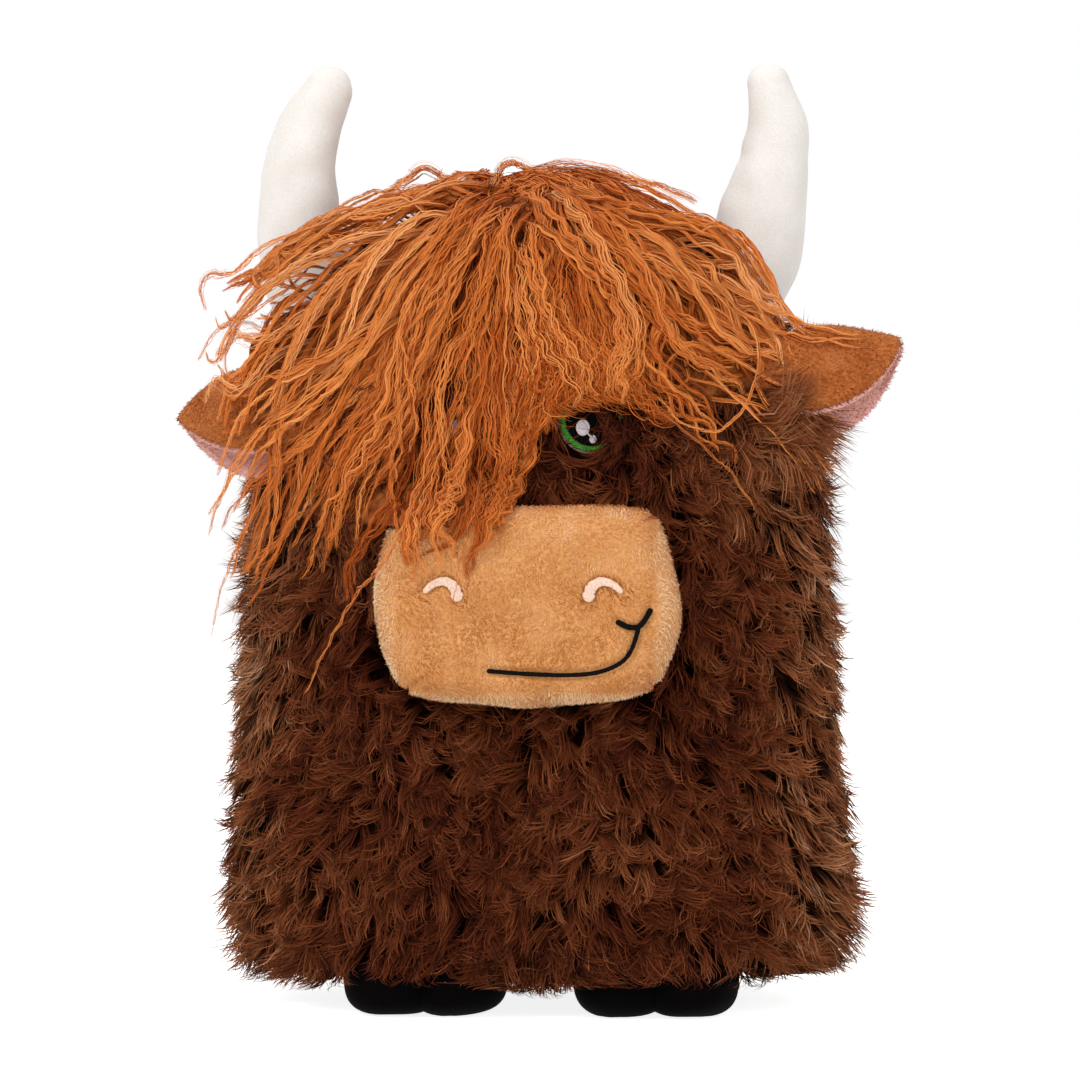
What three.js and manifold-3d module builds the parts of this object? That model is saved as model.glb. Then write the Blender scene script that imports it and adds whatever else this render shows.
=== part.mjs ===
// A plush highland cow that stands by itself: a loaf-shaped body of six fur panels round a soft
// filling, a boxed muzzle, embroidered eyes, nostrils and smile, two stuffed horns, two folded
// ears, four cloven feet, a long ginger forelock and a tail with a tuft.
// Millimetres, +Z up. The face looks towards -Y, and left and right are as seen by someone who
// faces it, so the right ear is on +X.

import * as THREE from 'three';
import { mergeVertices } from 'three/addons/utils/BufferGeometryUtils.js';
import Module from 'manifold-3d';

const wasm = await Module();
wasm.setup();

// Sizes in millimetres. A table that ends in Shares holds shares of the sizes beside it.

const seamGap = 0.3; // space left between pieces that are sewn or glued together
const soleCut = 0.5; // sliver taken off each sole so that it stands flat

// Body: a rounded block that narrows towards the crown
const bodyWidth = 233;
const bodyDepth = 150;
const bodyHeight = 296;
const bodyClearance = 11.5; // floor to the underside
const pileLayer = 10; // backing cloth with its dense pile
const bodySquareness = 2.8; // 2 is an ellipse, and more is squarer
const bodyLevelShares = [
  // height, width and depth
  [0, 0, 0],
  [0, 0.79, 0.77],
  [0.013, 0.88, 0.865],
  [0.043, 0.955, 0.95],
  [0.096, 1, 1],
  [0.234, 0.982, 0.985],
  [0.465, 0.958, 0.96],
  [0.647, 0.93, 0.925],
  [0.762, 0.885, 0.875],
  [0.845, 0.825, 0.815],
  [0.904, 0.745, 0.735],
  [0.95, 0.6, 0.6],
  [0.98, 0.4, 0.41],
  [0.995, 0.2, 0.2],
  [1, 0, 0],
];
const baseRows = 1; // rows of the table up to the seam round the underside
const uprightRows = 9; // rows from there to the seam round the crown
const faceColumns = 10; // facets across the front or back panel
const sideColumns = 8;

// Muzzle: a stuffed box of short plush with darted corners
const muzzleWidth = 109;
const muzzleHeight = 71;
const muzzleReach = 34; // how far it stands out of the face
const muzzleHeightShare = 0.475; // its middle, up the body
const muzzleCloth = 2;
const muzzleSquareness = 5;
const muzzleColumns = 24;
const muzzleLevelShares = [
  // reach and size
  [-0.35, 0.92],
  [0, 0.94],
  [0.3, 1],
  [0.6, 0.985],
  [0.8, 0.92],
  [0.92, 0.82],
  [0.975, 0.64],
  [0.995, 0.34],
  [1, 0],
];

// Embroidery on the muzzle, as shares of its half width and half height
const stitchHeight = 0.9; // how far the thread stands up
const smileWidth = 1.9;
const tickWidth = 2.5;
const nostrilWidth = 4;
const nostrilEndShare = 0.55; // width of the outer end
const threadSides = 6;
const smileSteps = 16;
const shortSteps = 8; // along the tick and along each nostril
const smileShares = [[-0.239, -0.638], [0.036, -0.668], [0.298, -0.678], [0.495, -0.648],
  [0.639, -0.555], [0.711, -0.423], [0.761, -0.199]];
const tickShares = [[0.609, -0.133], [0.692, -0.193], [0.761, -0.186], [0.809, -0.098],
  [0.841, -0.006]];
const nostrilShares = [[0.424, 0.06], [0.448, 0.195], [0.51, 0.262], [0.588, 0.235],
  [0.652, 0.15]];

// Eyes: a pale felt patch with an embroidered iris ring, pupil and glint
const eyeSpread = 22.8; // middle of the face to the middle of an eye
const eyeHeightShare = 0.697;
const eyePatchRadius = 12.8;
const eyePatchThickness = 1;
const irisRadius = 11.8;
const irisWidth = 2.1;
const eyeStitchHeight = 0.8;
const eyeColumns = 20;
const largeGlintShares = [-0.28, -0.24, 0.25]; // across, up and radius, shares of the iris radius
const smallGlintShares = [0.03, -0.61, 0.125];
const glintTallShare = 1.2; // height of a glint, of its width
const glintColumns = 10;
const glintTrailWidth = 0.7; // thread that runs from one glint to the other

// Horns: stuffed tapered tubes that leave the corners of the crown outwards and turn up
const hornHeight = 105; // from the sunk root to the tip
const hornTopRise = 47; // how far the tips stand above the crown
const hornRadius = 18;
const hornCloth = 1.6;
const hornColumns = 12;
const hornRings = 9;
const hornCapRings = 2;
const hornShares = {
  // rise and outward throw of the height, and radius of the base radius
  left: [[0, 0, 0.97], [0.162, 0.081, 1], [0.305, 0.133, 0.945], [0.438, 0.149, 0.867],
    [0.619, 0.154, 0.756], [0.762, 0.118, 0.667], [0.908, 0.044, 0.53]],
  right: [[0, 0, 0.97], [0.181, 0.081, 0.99], [0.333, 0.143, 0.972], [0.448, 0.167, 0.94],
    [0.53, 0.186, 0.844], [0.657, 0.211, 0.717], [0.766, 0.222, 0.628], [0.925, 0.19, 0.44]],
};
const hornRootShares = { left: 0.6525, right: 0.567 }; // of the body's half width

// Ears: two layers of cloth folded lengthways into a trough that opens downwards
const earLength = 54;
const earHalfHeight = 19.5;
const earCloth = 1.6;
const earFoldHalf = 5.4; // half the trough's inner width where it is widest
const earPinchHalf = 2.2; // the same at the root and the tip
const earRollRadius = 4.2; // seam allowance rolled into the side seam, and the line it flaps on
const earLeafShare = 0.18; // how far along a half wave the root cuts the leaf
const earLeafPower = 0.75;
const earFrontShare = 0.6; // how far the front wall hangs, the back wall being 1
const earEndShare = 0.97;
const earRootShares = { left: 0.699, right: 0.743 }; // height up the body
const earTipRise = { left: -1, right: 9.6 };
const earSweepDegrees = { left: 28, right: 0 }; // how far it lies back from straight out
const earTipPower = 5;
const earStations = 9;
const earFoldColumns = 4;
const earRollColumns = 12;

// Feet: each a soft cloven hoof of two toes
const toeWidth = 37;
const toeSpacing = 24;
const toeSquareness = 2.7; // 2 is an ellipse, and more is squarer
const hoofDepth = 56;
const hoofHeight = 26;
const hoofCloth = 1.5;
const hoofSpread = { left: 40, right: 45.5 }; // middle of the body to the middle of a foot
const hoofSetback = 44; // the same, front to back
const toeColumns = 12;
const toeRings = 8;

// Forelock: long locks sewn over the crown, which fall over the brow and the left cheek
const hairPivotShare = 0.515; // height that its fall is fanned from
const hairLift = 4.5; // how far its ends hang clear of the face, more than the eye stands out
const ridgeThickness = 11.5;
const valleyThickness = 7.5;
const hairSewnShare = 0.27; // share of its fall where it lies on the body
const hairRows = 9;
const hairEndShare = 0.55; // thickness of the ends
const hairSideShare = 0.45; // thickness of the outermost locks, of the middle ones
const hairHalvings = 24; // how finely the skin under it is found
const hairColumnShares = [
  // across the half width, lean where the lock starts in degrees, height where it ends
  [-0.706, 15, 0.847], [-0.672, 14, 0.827], [-0.639, 13, 0.586], [-0.588, 13, 0.541],
  [-0.538, 12, 0.579], [-0.496, 12, 0.535], [-0.454, -20, 0.619], [-0.387, -28, 0.643],
  [-0.319, -30, 0.619], [-0.252, -30, 0.648], [-0.185, -30, 0.619], [-0.118, -30, 0.648],
  [-0.05, -30, 0.628], [0.017, -30, 0.703], [0.084, -30, 0.722], [0.151, -30, 0.739],
  [0.218, -30, 0.722], [0.286, -30, 0.739], [0.353, -28, 0.703], [0.42, -20, 0.73],
  [0.487, 12, 0.668], [0.555, 12, 0.707], [0.605, 13, 0.658], [0.63, 13, 0.697],
  [0.65, 14, 0.827], [0.706, 15, 0.847],
];

// Tail: a stuffed tube that hangs from a hinge-like seam, with a tuft at its end
const tailRootShare = 0.373;
const tailRadius = 7;
const tailEndRadius = 5.5;
const tailLength = 60; // hinge line to the end of the tube
const tailRestDegrees = 6; // away from the back, where it lies on the fur
const tailColumns = 12;
const tailCapSteps = 3;
const tuftLength = 43; // its hinge line to its tip
const tuftNeckRadius = 4.5;
const tuftRadius = 10.5;
const tuftDepthShare = 0.7; // depth of the tuft, of its width
const tuftProfileShares = [[0.76, 0.16], [1, 0.42], [0.81, 0.7], [0.3, 0.92], [0, 1]];

// Cloth colours
const materials = {
  brownFur: cloth(0x4a2616, 0.95),
  gingerFur: cloth(0xb5662f, 0.9),
  tanPlush: cloth(0xcf8f5c, 0.9),
  whitePlush: cloth(0xf3eeea, 0.9),
  rustPlush: cloth(0xa4592e, 0.9),
  pinkPlush: cloth(0xe3a596, 0.9),
  blackPlush: cloth(0x0a0706, 0.85),
  fibreFill: cloth(0xf6f4ee, 1),
  paleFelt: cloth(0xe6cfc4, 0.95),
  greenThread: cloth(0x2f6b24, 0.55),
  blackThread: cloth(0x0a0a0a, 0.5),
  pinkThread: cloth(0xeccab4, 0.6),
  whiteThread: cloth(0xcfc4c8, 0.6),
};

function cloth(color, roughness) {
  return new THREE.MeshStandardMaterial({ color, roughness, metalness: 0 });
}

// Joins points and triangles into a solid: equal points are shared, empty triangles dropped, and
// the whole is turned right side out
function solidFrom(points, faces) {
  const places = [];
  const seen = new Map();
  const shared = points.map((point) => {
    const key = point.toArray().map((value) => value.toFixed(4)).join();
    if (!seen.has(key)) {
      seen.set(key, places.length);
      places.push(point);
    }
    return seen.get(key);
  });
  const kept = faces.map((face) => face.map((index) => shared[index]))
    .filter(([a, b, c]) => a !== b && b !== c && c !== a);
  const volume = kept.reduce((sum, [a, b, c]) => (
    sum + places[a].dot(places[b].clone().cross(places[c]))), 0);
  const ordered = volume < 0 ? kept.map(([a, b, c]) => [a, c, b]) : kept;
  return new wasm.Manifold(new wasm.Mesh({
    numProp: 3,
    vertProperties: new Float32Array(places.flatMap((point) => point.toArray())),
    triVerts: new Uint32Array(ordered.flat()),
  }));
}

function solidFromGeometry(geometry) {
  const bare = geometry.clone();
  bare.deleteAttribute('normal');
  bare.deleteAttribute('uv');
  const merged = mergeVertices(bare);
  const position = merged.getAttribute('position');
  const points = Array.from({ length: position.count }, (_, index) => (
    new THREE.Vector3().fromBufferAttribute(position, index)));
  const index = Array.from(merged.index.array);
  const faces = Array.from({ length: index.length / 3 }, (_, face) => (
    index.slice(face * 3, face * 3 + 3)));
  return solidFrom(points, faces);
}

// Triangles of a grid of points, row by row; a closed grid joins its last column to its first
function gridFaces(rows, columns, closed, start = 0) {
  const faces = [];
  const at = (row, column) => start + row * columns + (column % columns);
  for (let row = 0; row < rows - 1; row += 1) {
    for (let column = 0; column < (closed ? columns : columns - 1); column += 1) {
      const corners = [at(row, column), at(row, column + 1), at(row + 1, column + 1),
        at(row + 1, column)];
      faces.push([corners[0], corners[1], corners[2]], [corners[0], corners[2], corners[3]]);
    }
  }
  return faces;
}

// A layer of cloth: an outer grid, an inner grid and walls round the edges
function layerSolid(outer, inner, closed) {
  const rows = outer.length;
  const columns = outer[0].length;
  const points = [...outer.flat(), ...inner.flat()];
  const innerStart = rows * columns;
  const turned = ([a, b, c]) => [a, c, b];
  const faces = [...gridFaces(rows, columns, closed),
    ...gridFaces(rows, columns, closed, innerStart).map(turned)];
  const wall = (a, b) => {
    faces.push([b, a, a + innerStart], [b, a + innerStart, b + innerStart]);
  };
  const lastRow = (rows - 1) * columns;
  for (let column = 0; column < (closed ? columns : columns - 1); column += 1) {
    const next = (column + 1) % columns;
    wall(column, next);
    wall(lastRow + next, lastRow + column);
  }
  if (!closed) {
    for (let row = 0; row < rows - 1; row += 1) {
      wall((row + 1) * columns, row * columns);
      wall((row + 1) * columns - 1, (row + 2) * columns - 1);
    }
  }
  return solidFrom(points, faces);
}

// A solid through rings of points, closed at both ends by a fan to the end ring's middle
function loftSolid(rings) {
  const fan = (ring) => {
    const middle = ring.reduce((sum, point) => sum.add(point), new THREE.Vector3())
      .divideScalar(ring.length);
    return ring.map(() => middle);
  };
  const rows = [fan(rings[0]), ...rings, fan(rings[rings.length - 1])];
  return solidFrom(rows.flat(), gridFaces(rows.length, rings[0].length, true));
}

const turnsAround = (count) => Array.from({ length: count }, (_, step) => (
  (step / count) * 2 * Math.PI));
const spread = (from, to, steps) => Array.from({ length: steps + 1 }, (_, step) => (
  from + ((to - from) * step) / steps));
const degrees = (angle) => THREE.MathUtils.degToRad(angle);
const squared = (value, squareness) => Math.sign(value) * Math.abs(value) ** (2 / squareness);

// A thread or tube along a curve: flat ellipses, half as high as told, that face a fixed way
function sweepSolid(curve, steps, sides, halfWidthAt, halfHeight, facing) {
  const rings = spread(0, 1, steps).map((along) => {
    const middle = curve.getPoint(along);
    const across = facing.clone().cross(curve.getTangent(along)).normalize();
    return turnsAround(sides).map((turn) => middle.clone()
      .addScaledVector(across, halfWidthAt(along) * Math.cos(turn))
      .addScaledVector(facing, halfHeight * Math.sin(turn)));
  });
  return loftSolid(rings);
}

// Body

// A point of the body's skin at a level, outset from it; turn 0 is the middle of the face
function bodyPoint(level, turn, outset) {
  const [heightShare, widthShare, depthShare] = bodyLevelShares[level];
  const grown = (size, share) => (share > 0 ? (size / 2) * share + outset : 0);
  return new THREE.Vector3(
    grown(bodyWidth, widthShare) * squared(Math.sin(turn), bodySquareness),
    -grown(bodyDepth, depthShare) * squared(Math.cos(turn), bodySquareness),
    bodyClearance - outset + (bodyHeight + 2 * outset) * heightShare,
  );
}

// Half width and half depth of the grown body at any height, straight between the levels
function bodyHalves(height, outset = 0) {
  const share = (height - bodyClearance + outset) / (bodyHeight + 2 * outset);
  if (share <= 0 || share >= 1) return { width: 0, depth: 0 };
  const above = bodyLevelShares.findIndex(([levelShare]) => levelShare > share);
  const [low, high] = [bodyLevelShares[above - 1], bodyLevelShares[above]];
  const blend = (share - low[0]) / (high[0] - low[0]);
  return {
    width: (bodyWidth / 2) * (low[1] + (high[1] - low[1]) * blend) + outset,
    depth: (bodyDepth / 2) * (low[2] + (high[2] - low[2]) * blend) + outset,
  };
}

const heightUp = (share) => bodyClearance + bodyHeight * share;

// How far the face stands forward of the body's middle at a place on it
function faceDepth(x, height) {
  const halves = bodyHalves(height);
  const across = Math.min(Math.abs(x) / halves.width, 1) ** bodySquareness;
  return halves.depth * (1 - across) ** (1 / bodySquareness);
}

const quarter = Math.PI / 2;
const faceTurns = (middle) => spread(middle - quarter / 2, middle + quarter / 2, faceColumns);
const sideTurns = (middle) => spread(middle - quarter / 2, middle + quarter / 2, sideColumns);
const allTurns = [faceTurns(0), sideTurns(quarter), faceTurns(2 * quarter), sideTurns(3 * quarter)]
  .flatMap((turns) => turns.slice(0, -1));
const allLevels = bodyLevelShares.map((_, level) => level);

// Draws a panel's edges back by half the seam gap, each edge point towards the next one in
function drawEdgesIn(grid, closed) {
  const draw = (point, towards) => {
    const way = towards.clone().sub(point);
    if (way.length() > seamGap) point.addScaledVector(way.normalize(), seamGap / 2);
  };
  const lastRow = grid.length - 1;
  const isPole = (row) => row[0].distanceTo(row[1]) === 0;
  if (!isPole(grid[0])) grid[0].forEach((point, column) => draw(point, grid[1][column]));
  if (!isPole(grid[lastRow])) {
    grid[lastRow].forEach((point, column) => draw(point, grid[lastRow - 1][column]));
  }
  if (!closed) {
    grid.forEach((row) => {
      draw(row[0], row[1]);
      draw(row[row.length - 1], row[row.length - 2]);
    });
  }
  return grid;
}

function bodyPanel(levels, turns, closed) {
  const grid = (outset) => drawEdgesIn(levels.map((level) => (
    turns.map((turn) => bodyPoint(level, turn, outset)))), closed);
  return layerSolid(grid(0), grid(-pileLayer), closed);
}

function bodyBlock(outset) {
  const rings = allLevels.map((level) => allTurns.map((turn) => bodyPoint(level, turn, outset)));
  return loftSolid(rings);
}

const clearOfBody = bodyBlock(seamGap);

// Muzzle

const muzzleMiddle = heightUp(muzzleHeightShare);
const muzzleFace = faceDepth(0, muzzleMiddle);

// Past this level the front rounds off
const muzzleWidest = muzzleLevelShares.findIndex(([, sizeShare]) => sizeShare === 1);

function muzzleBlock(inset) {
  const rings = muzzleLevelShares.map(([reachShare, sizeShare]) => (
    turnsAround(muzzleColumns).map((turn) => {
      const half = (size) => (sizeShare > 0 ? (size / 2) * sizeShare - inset : 0);
      return new THREE.Vector3(
        half(muzzleWidth) * squared(Math.cos(turn), muzzleSquareness),
        -muzzleFace - (muzzleReach - inset) * reachShare,
        muzzleMiddle + half(muzzleHeight) * squared(Math.sin(turn), muzzleSquareness),
      );
    })));
  return loftSolid(rings);
}

// A place on the muzzle's front, told in shares of its half sizes, lifted off it
function onMuzzle([xShare, zShare], lift) {
  const size = (Math.abs(xShare) ** muzzleSquareness + Math.abs(zShare) ** muzzleSquareness)
    ** (1 / muzzleSquareness);
  const past = muzzleLevelShares.findIndex(([, levelSize], level) => (
    level > muzzleWidest && levelSize < size));
  const [before, after] = [muzzleLevelShares[past - 1], muzzleLevelShares[past]];
  const blend = (before[1] - size) / (before[1] - after[1]);
  const reachShare = before[0] + (after[0] - before[0]) * blend;
  return new THREE.Vector3(
    (muzzleWidth / 2) * xShare,
    -muzzleFace - muzzleReach * reachShare - lift,
    muzzleMiddle + (muzzleHeight / 2) * zShare,
  );
}

const forward = new THREE.Vector3(0, -1, 0);
const clearOfMuzzle = muzzleBlock(-seamGap);

function stitchedLine(placeShares, steps, halfWidthAt) {
  const lift = seamGap + stitchHeight / 2;
  const curve = new THREE.CatmullRomCurve3(placeShares.map((place) => onMuzzle(place, lift)));
  return sweepSolid(curve, steps, threadSides, halfWidthAt, stitchHeight / 2, forward)
    .subtract(clearOfMuzzle);
}

function smile() {
  const line = stitchedLine(smileShares, smileSteps, () => smileWidth / 2);
  const tick = stitchedLine(tickShares, shortSteps, () => tickWidth / 2);
  return line.add(tick);
}

function nostril(side) {
  const places = nostrilShares.map(([x, z]) => [side * x, z]);
  const halfWidthAt = (along) => (nostrilWidth / 2) * (1 - (1 - nostrilEndShare) * along);
  return stitchedLine(places, shortSteps, halfWidthAt);
}

// Eyes: made flat in a frame of their own, whose +Y points out of the face

// A round plate from a profile of radius and height, with its upper edge rounded over
function plate(innerRadius, outerRadius, base, height) {
  const edge = height / 2;
  const rim = [[outerRadius, base], [outerRadius, base + edge],
    [outerRadius - edge, base + height]];
  const inner = innerRadius > 0
    ? [[innerRadius + edge, base + height], [innerRadius, base + edge], [innerRadius, base],
      [outerRadius, base]]
    : [[0, base + height]];
  const profile = innerRadius > 0 ? [...rim, ...inner] : [[0, base], ...rim, ...inner];
  const points = profile.map(([radius, level]) => new THREE.Vector2(radius, level));
  return solidFromGeometry(new THREE.LatheGeometry(points, eyeColumns));
}

const eyeStitchBase = seamGap + eyePatchThickness + seamGap;
const glintBase = eyeStitchBase + eyeStitchHeight + seamGap;

function glint() {
  const disc = ([across, up, radiusShare]) => {
    const radius = irisRadius * radiusShare;
    const round = new THREE.CylinderGeometry(radius, radius, eyeStitchHeight, glintColumns);
    round.scale(1, 1, glintTallShare);
    round.translate(irisRadius * across, glintBase + eyeStitchHeight / 2, -irisRadius * up);
    return solidFromGeometry(round);
  };
  const ends = [largeGlintShares, smallGlintShares].map(([across, up]) => new THREE.Vector3(
    irisRadius * across, glintBase + glintTrailWidth / 2, -irisRadius * up));
  const trail = sweepSolid(new THREE.LineCurve3(...ends), 1, threadSides, () => glintTrailWidth / 2,
    glintTrailWidth / 2, new THREE.Vector3(0, 1, 0));
  return disc(largeGlintShares).add(disc(smallGlintShares)).add(trail);
}

function eyeFrame(side) {
  const height = heightUp(eyeHeightShare);
  const x = side * eyeSpread;
  const step = eyePatchRadius / 2;
  const place = (across, up) => new THREE.Vector3(
    x + across, -faceDepth(x + across, height + up), height + up);
  const along = place(step, 0).sub(place(-step, 0));
  const up = place(0, step).sub(place(0, -step));
  const outward = along.clone().cross(up).normalize();
  const right = along.normalize();
  const frame = new THREE.Group();
  frame.position.copy(place(0, 0));
  frame.quaternion.setFromRotationMatrix(
    new THREE.Matrix4().makeBasis(right, outward, right.clone().cross(outward)));
  return frame;
}

// Horns

// Rings of a horn in its own upright plane, then two smaller ones that round off its tip
function hornBlock(side, sign, inset) {
  const rootX = (bodyWidth / 2) * hornRootShares[side];
  const shape = new THREE.CatmullRomCurve3(hornShares[side].map(([rise, out, radius]) => (
    new THREE.Vector3(hornHeight * out, hornHeight * rise, hornRadius * radius))));
  const place = (along) => {
    const here = shape.getPoint(along);
    const way = shape.getTangent(along);
    return {
      middle: new THREE.Vector3(rootX + here.x, 0, heightUp(1) + hornTopRise - hornHeight + here.y),
      radius: here.z - inset,
      way: new THREE.Vector3(way.x, 0, way.y).normalize(),
    };
  };
  const ring = ({ middle, radius, way }) => {
    const across = new THREE.Vector3(way.z, 0, -way.x);
    return turnsAround(hornColumns).map((turn) => middle.clone()
      .addScaledVector(across, radius * Math.cos(turn))
      .add(new THREE.Vector3(0, radius * Math.sin(turn), 0)));
  };
  const tip = place(1);
  const capRing = (angle) => ring({
    middle: tip.middle.clone().addScaledVector(tip.way, tip.radius * Math.sin(angle)),
    radius: tip.radius * Math.cos(angle),
    way: tip.way,
  });
  const capAngles = spread(0, quarter, hornCapRings + 1).slice(1);
  const rings = [...spread(0, 1, hornRings).map(place).map(ring), ...capAngles.map(capRing)];
  const mirrored = rings.map((points) => points.map((point) => (
    new THREE.Vector3(sign * point.x, point.y, point.z))));
  return loftSolid(mirrored);
}

// Ears: made in a frame of their own, with the flap line on Z and the ear outwards along X

function earSection(along, side, sign, offset) {
  const wave = Math.sin(Math.PI * (earLeafShare + (1 - earLeafShare) * along));
  const halfHeight = earHalfHeight * wave ** earLeafPower;
  const fold = earPinchHalf + (earFoldHalf - earPinchHalf) * Math.sin(Math.PI * along);
  const middle = earTipRise[side] * along ** earTipPower;
  const arcHeight = middle + halfHeight - fold - earCloth;
  const x = sign * earLength * along;
  const radius = fold + offset;
  const arc = spread(0, Math.PI, earFoldColumns).map((turn) => new THREE.Vector3(
    x, -radius * Math.cos(turn), arcHeight + radius * Math.sin(turn)));
  return [new THREE.Vector3(x, -radius, middle - halfHeight * earFrontShare), ...arc,
    new THREE.Vector3(x, radius, middle - halfHeight)];
}

function earLayer(side, sign, startShare, outerOffset) {
  const stations = spread(startShare, earEndShare, earStations);
  const grid = (offset) => stations.map((along) => earSection(along, side, sign, offset));
  return layerSolid(grid(outerOffset), grid(outerOffset - earCloth), false);
}

function earOuter(side, sign) {
  const rootHeight = 2 * earHalfHeight * Math.sin(Math.PI * earLeafShare) ** earLeafPower;
  const roll = new THREE.CylinderGeometry(earRollRadius, earRollRadius, rootHeight, earRollColumns);
  roll.rotateX(quarter);
  return earLayer(side, sign, 0, earCloth).add(solidFromGeometry(roll));
}

function earInner(side, sign) {
  return earLayer(side, sign, (earRollRadius + seamGap) / earLength, -seamGap);
}

// The ear is sewn into the seam between the face and the side panel, and flaps about that seam
function earFrame(side, sign) {
  const rootHalf = earHalfHeight * Math.sin(Math.PI * earLeafShare) ** earLeafPower;
  const height = heightUp(earRootShares[side]);
  const corner = (level) => {
    const halves = bodyHalves(level);
    const share = squared(Math.SQRT1_2, bodySquareness);
    return new THREE.Vector3(sign * halves.width * share, -halves.depth * share, level);
  };
  const halves = bodyHalves(height);
  const outward = new THREE.Vector3(sign / halves.width, -1 / halves.depth, 0).normalize();
  const seam = corner(height + rootHalf).sub(corner(height - rootHalf)).normalize();
  const frame = new THREE.Group();
  frame.position.copy(corner(height)).addScaledVector(outward, earRollRadius + seamGap);
  frame.quaternion.setFromUnitVectors(new THREE.Vector3(0, 0, 1), seam);
  frame.rotateZ(sign * degrees(earSweepDegrees[side]));
  return frame;
}

// Feet

// Both toes of a foot, each a ball of radius 1 that is made squarer and then stretched to size
function toesBlock(x, y, inset) {
  const toe = (offset) => {
    const round = new THREE.SphereGeometry(1, toeColumns, toeRings);
    const place = round.getAttribute('position');
    for (let index = 0; index < place.count; index += 1) {
      const point = new THREE.Vector3().fromBufferAttribute(place, index);
      const reach = point.toArray().reduce((sum, part) => sum + Math.abs(part) ** toeSquareness, 0);
      point.multiplyScalar(reach ** (-1 / toeSquareness));
      place.setXYZ(index, point.x, point.y, point.z);
    }
    round.rotateX(quarter);
    round.scale(toeWidth / 2 - inset, hoofDepth / 2 - inset, hoofHeight / 2 - inset);
    round.translate(x + offset, y, hoofHeight / 2 - soleCut);
    return solidFromGeometry(round);
  };
  return toe(-toeSpacing / 2).add(toe(toeSpacing / 2));
}

// Everything below a level, as a block wider than the body
function below(level) {
  const block = new THREE.BoxGeometry(2 * bodyWidth, 2 * bodyDepth, bodyHeight);
  block.translate(0, 0, level - bodyHeight / 2);
  return solidFromGeometry(block);
}

// Forelock

// How far a ray leaning forward from the upright, in the plane x, runs to the grown body's skin
function rayToSkin(x, lean, outset) {
  const pivot = heightUp(hairPivotShare);
  const inside = (reach) => {
    const halves = bodyHalves(pivot + reach * Math.cos(lean), outset);
    if (halves.width <= Math.abs(x)) return false;
    return (Math.abs(x) / halves.width) ** bodySquareness
      + (Math.abs(reach * Math.sin(lean)) / halves.depth) ** bodySquareness < 1;
  };
  let [near, far] = [0, bodyHeight];
  for (let halving = 0; halving < hairHalvings; halving += 1) {
    const middle = (near + far) / 2;
    if (inside(middle)) near = middle;
    else far = middle;
  }
  return near;
}

// Every column of the sheet is a lock's ridge or the valley beside it, drawn over the crown and
// down the face; it starts sunk, so that cutting it clear of the body seats it there, and its ends
// hang clear
function forelock() {
  const pivot = heightUp(hairPivotShare);
  const column = ([xShare, startLean, endShare], index) => {
    const x = (bodyWidth / 2) * xShare;
    const endHeight = heightUp(endShare);
    const endLean = Math.atan2(faceDepth(x, endHeight), endHeight - pivot);
    const sideways = Math.abs(xShare / hairColumnShares[0][0]);
    const full = (index % 2 === 0 ? valleyThickness : ridgeThickness)
      * (1 - (1 - hairSideShare) * sideways);
    return spread(degrees(startLean), endLean, hairRows).map((lean, row) => {
      const fall = row / hairRows;
      const lift = hairLift * Math.min(1, fall / hairSewnShare - 1);
      const thickness = full * (1 - (1 - hairEndShare) * fall ** 3);
      const reach = rayToSkin(x, lean, 0);
      const at = (distance) => new THREE.Vector3(
        x, -distance * Math.sin(lean), pivot + distance * Math.cos(lean));
      return [at(reach + lift + thickness), at(reach + lift)];
    });
  };
  const columns = hairColumnShares.map(column);
  const side = (which) => columns[0].map((_, row) => columns.map((points) => points[row][which]));
  return layerSolid(side(0), side(1), false);
}

// Tail

// A turned solid that hangs below its frame's origin, from a profile of radius and drop
function hanging(profile, depthShare) {
  const points = profile.map(([radius, drop]) => new THREE.Vector2(radius, -drop));
  const geometry = new THREE.LatheGeometry(points, tailColumns);
  geometry.rotateX(quarter);
  geometry.scale(1, depthShare, 1);
  return solidFromGeometry(geometry);
}

const ballProfile = (radius) => spread(quarter, 0, tailCapSteps).map((turn) => (
  [radius * Math.cos(turn), -radius * Math.sin(turn)]));
const onAxis = ([radius, drop]) => (radius < seamGap ? [0, drop] : [radius, drop]);

function tailTube() {
  const end = [[tailEndRadius, tailLength - tailEndRadius / 2], [tailEndRadius / 2, tailLength],
    [0, tailLength]];
  return hanging([...ballProfile(tailRadius), ...end].map(onAxis), 1);
}

function tailTuft() {
  const locks = tuftProfileShares.map(([radius, drop]) => [tuftRadius * radius, tuftLength * drop]);
  return hanging([...ballProfile(tuftNeckRadius), ...locks].map(onAxis), tuftDepthShare);
}

// Assembly

const cow = new THREE.Group();

function addPiece(parent, name, solid, material) {
  const mesh = solid.getMesh();
  const geometry = new THREE.BufferGeometry();
  geometry.setAttribute('position', new THREE.BufferAttribute(mesh.vertProperties, 3));
  geometry.setIndex(new THREE.BufferAttribute(mesh.triVerts, 1));
  geometry.computeVertexNormals();
  const piece = new THREE.Mesh(geometry, material);
  piece.name = name;
  parent.add(piece);
}

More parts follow.
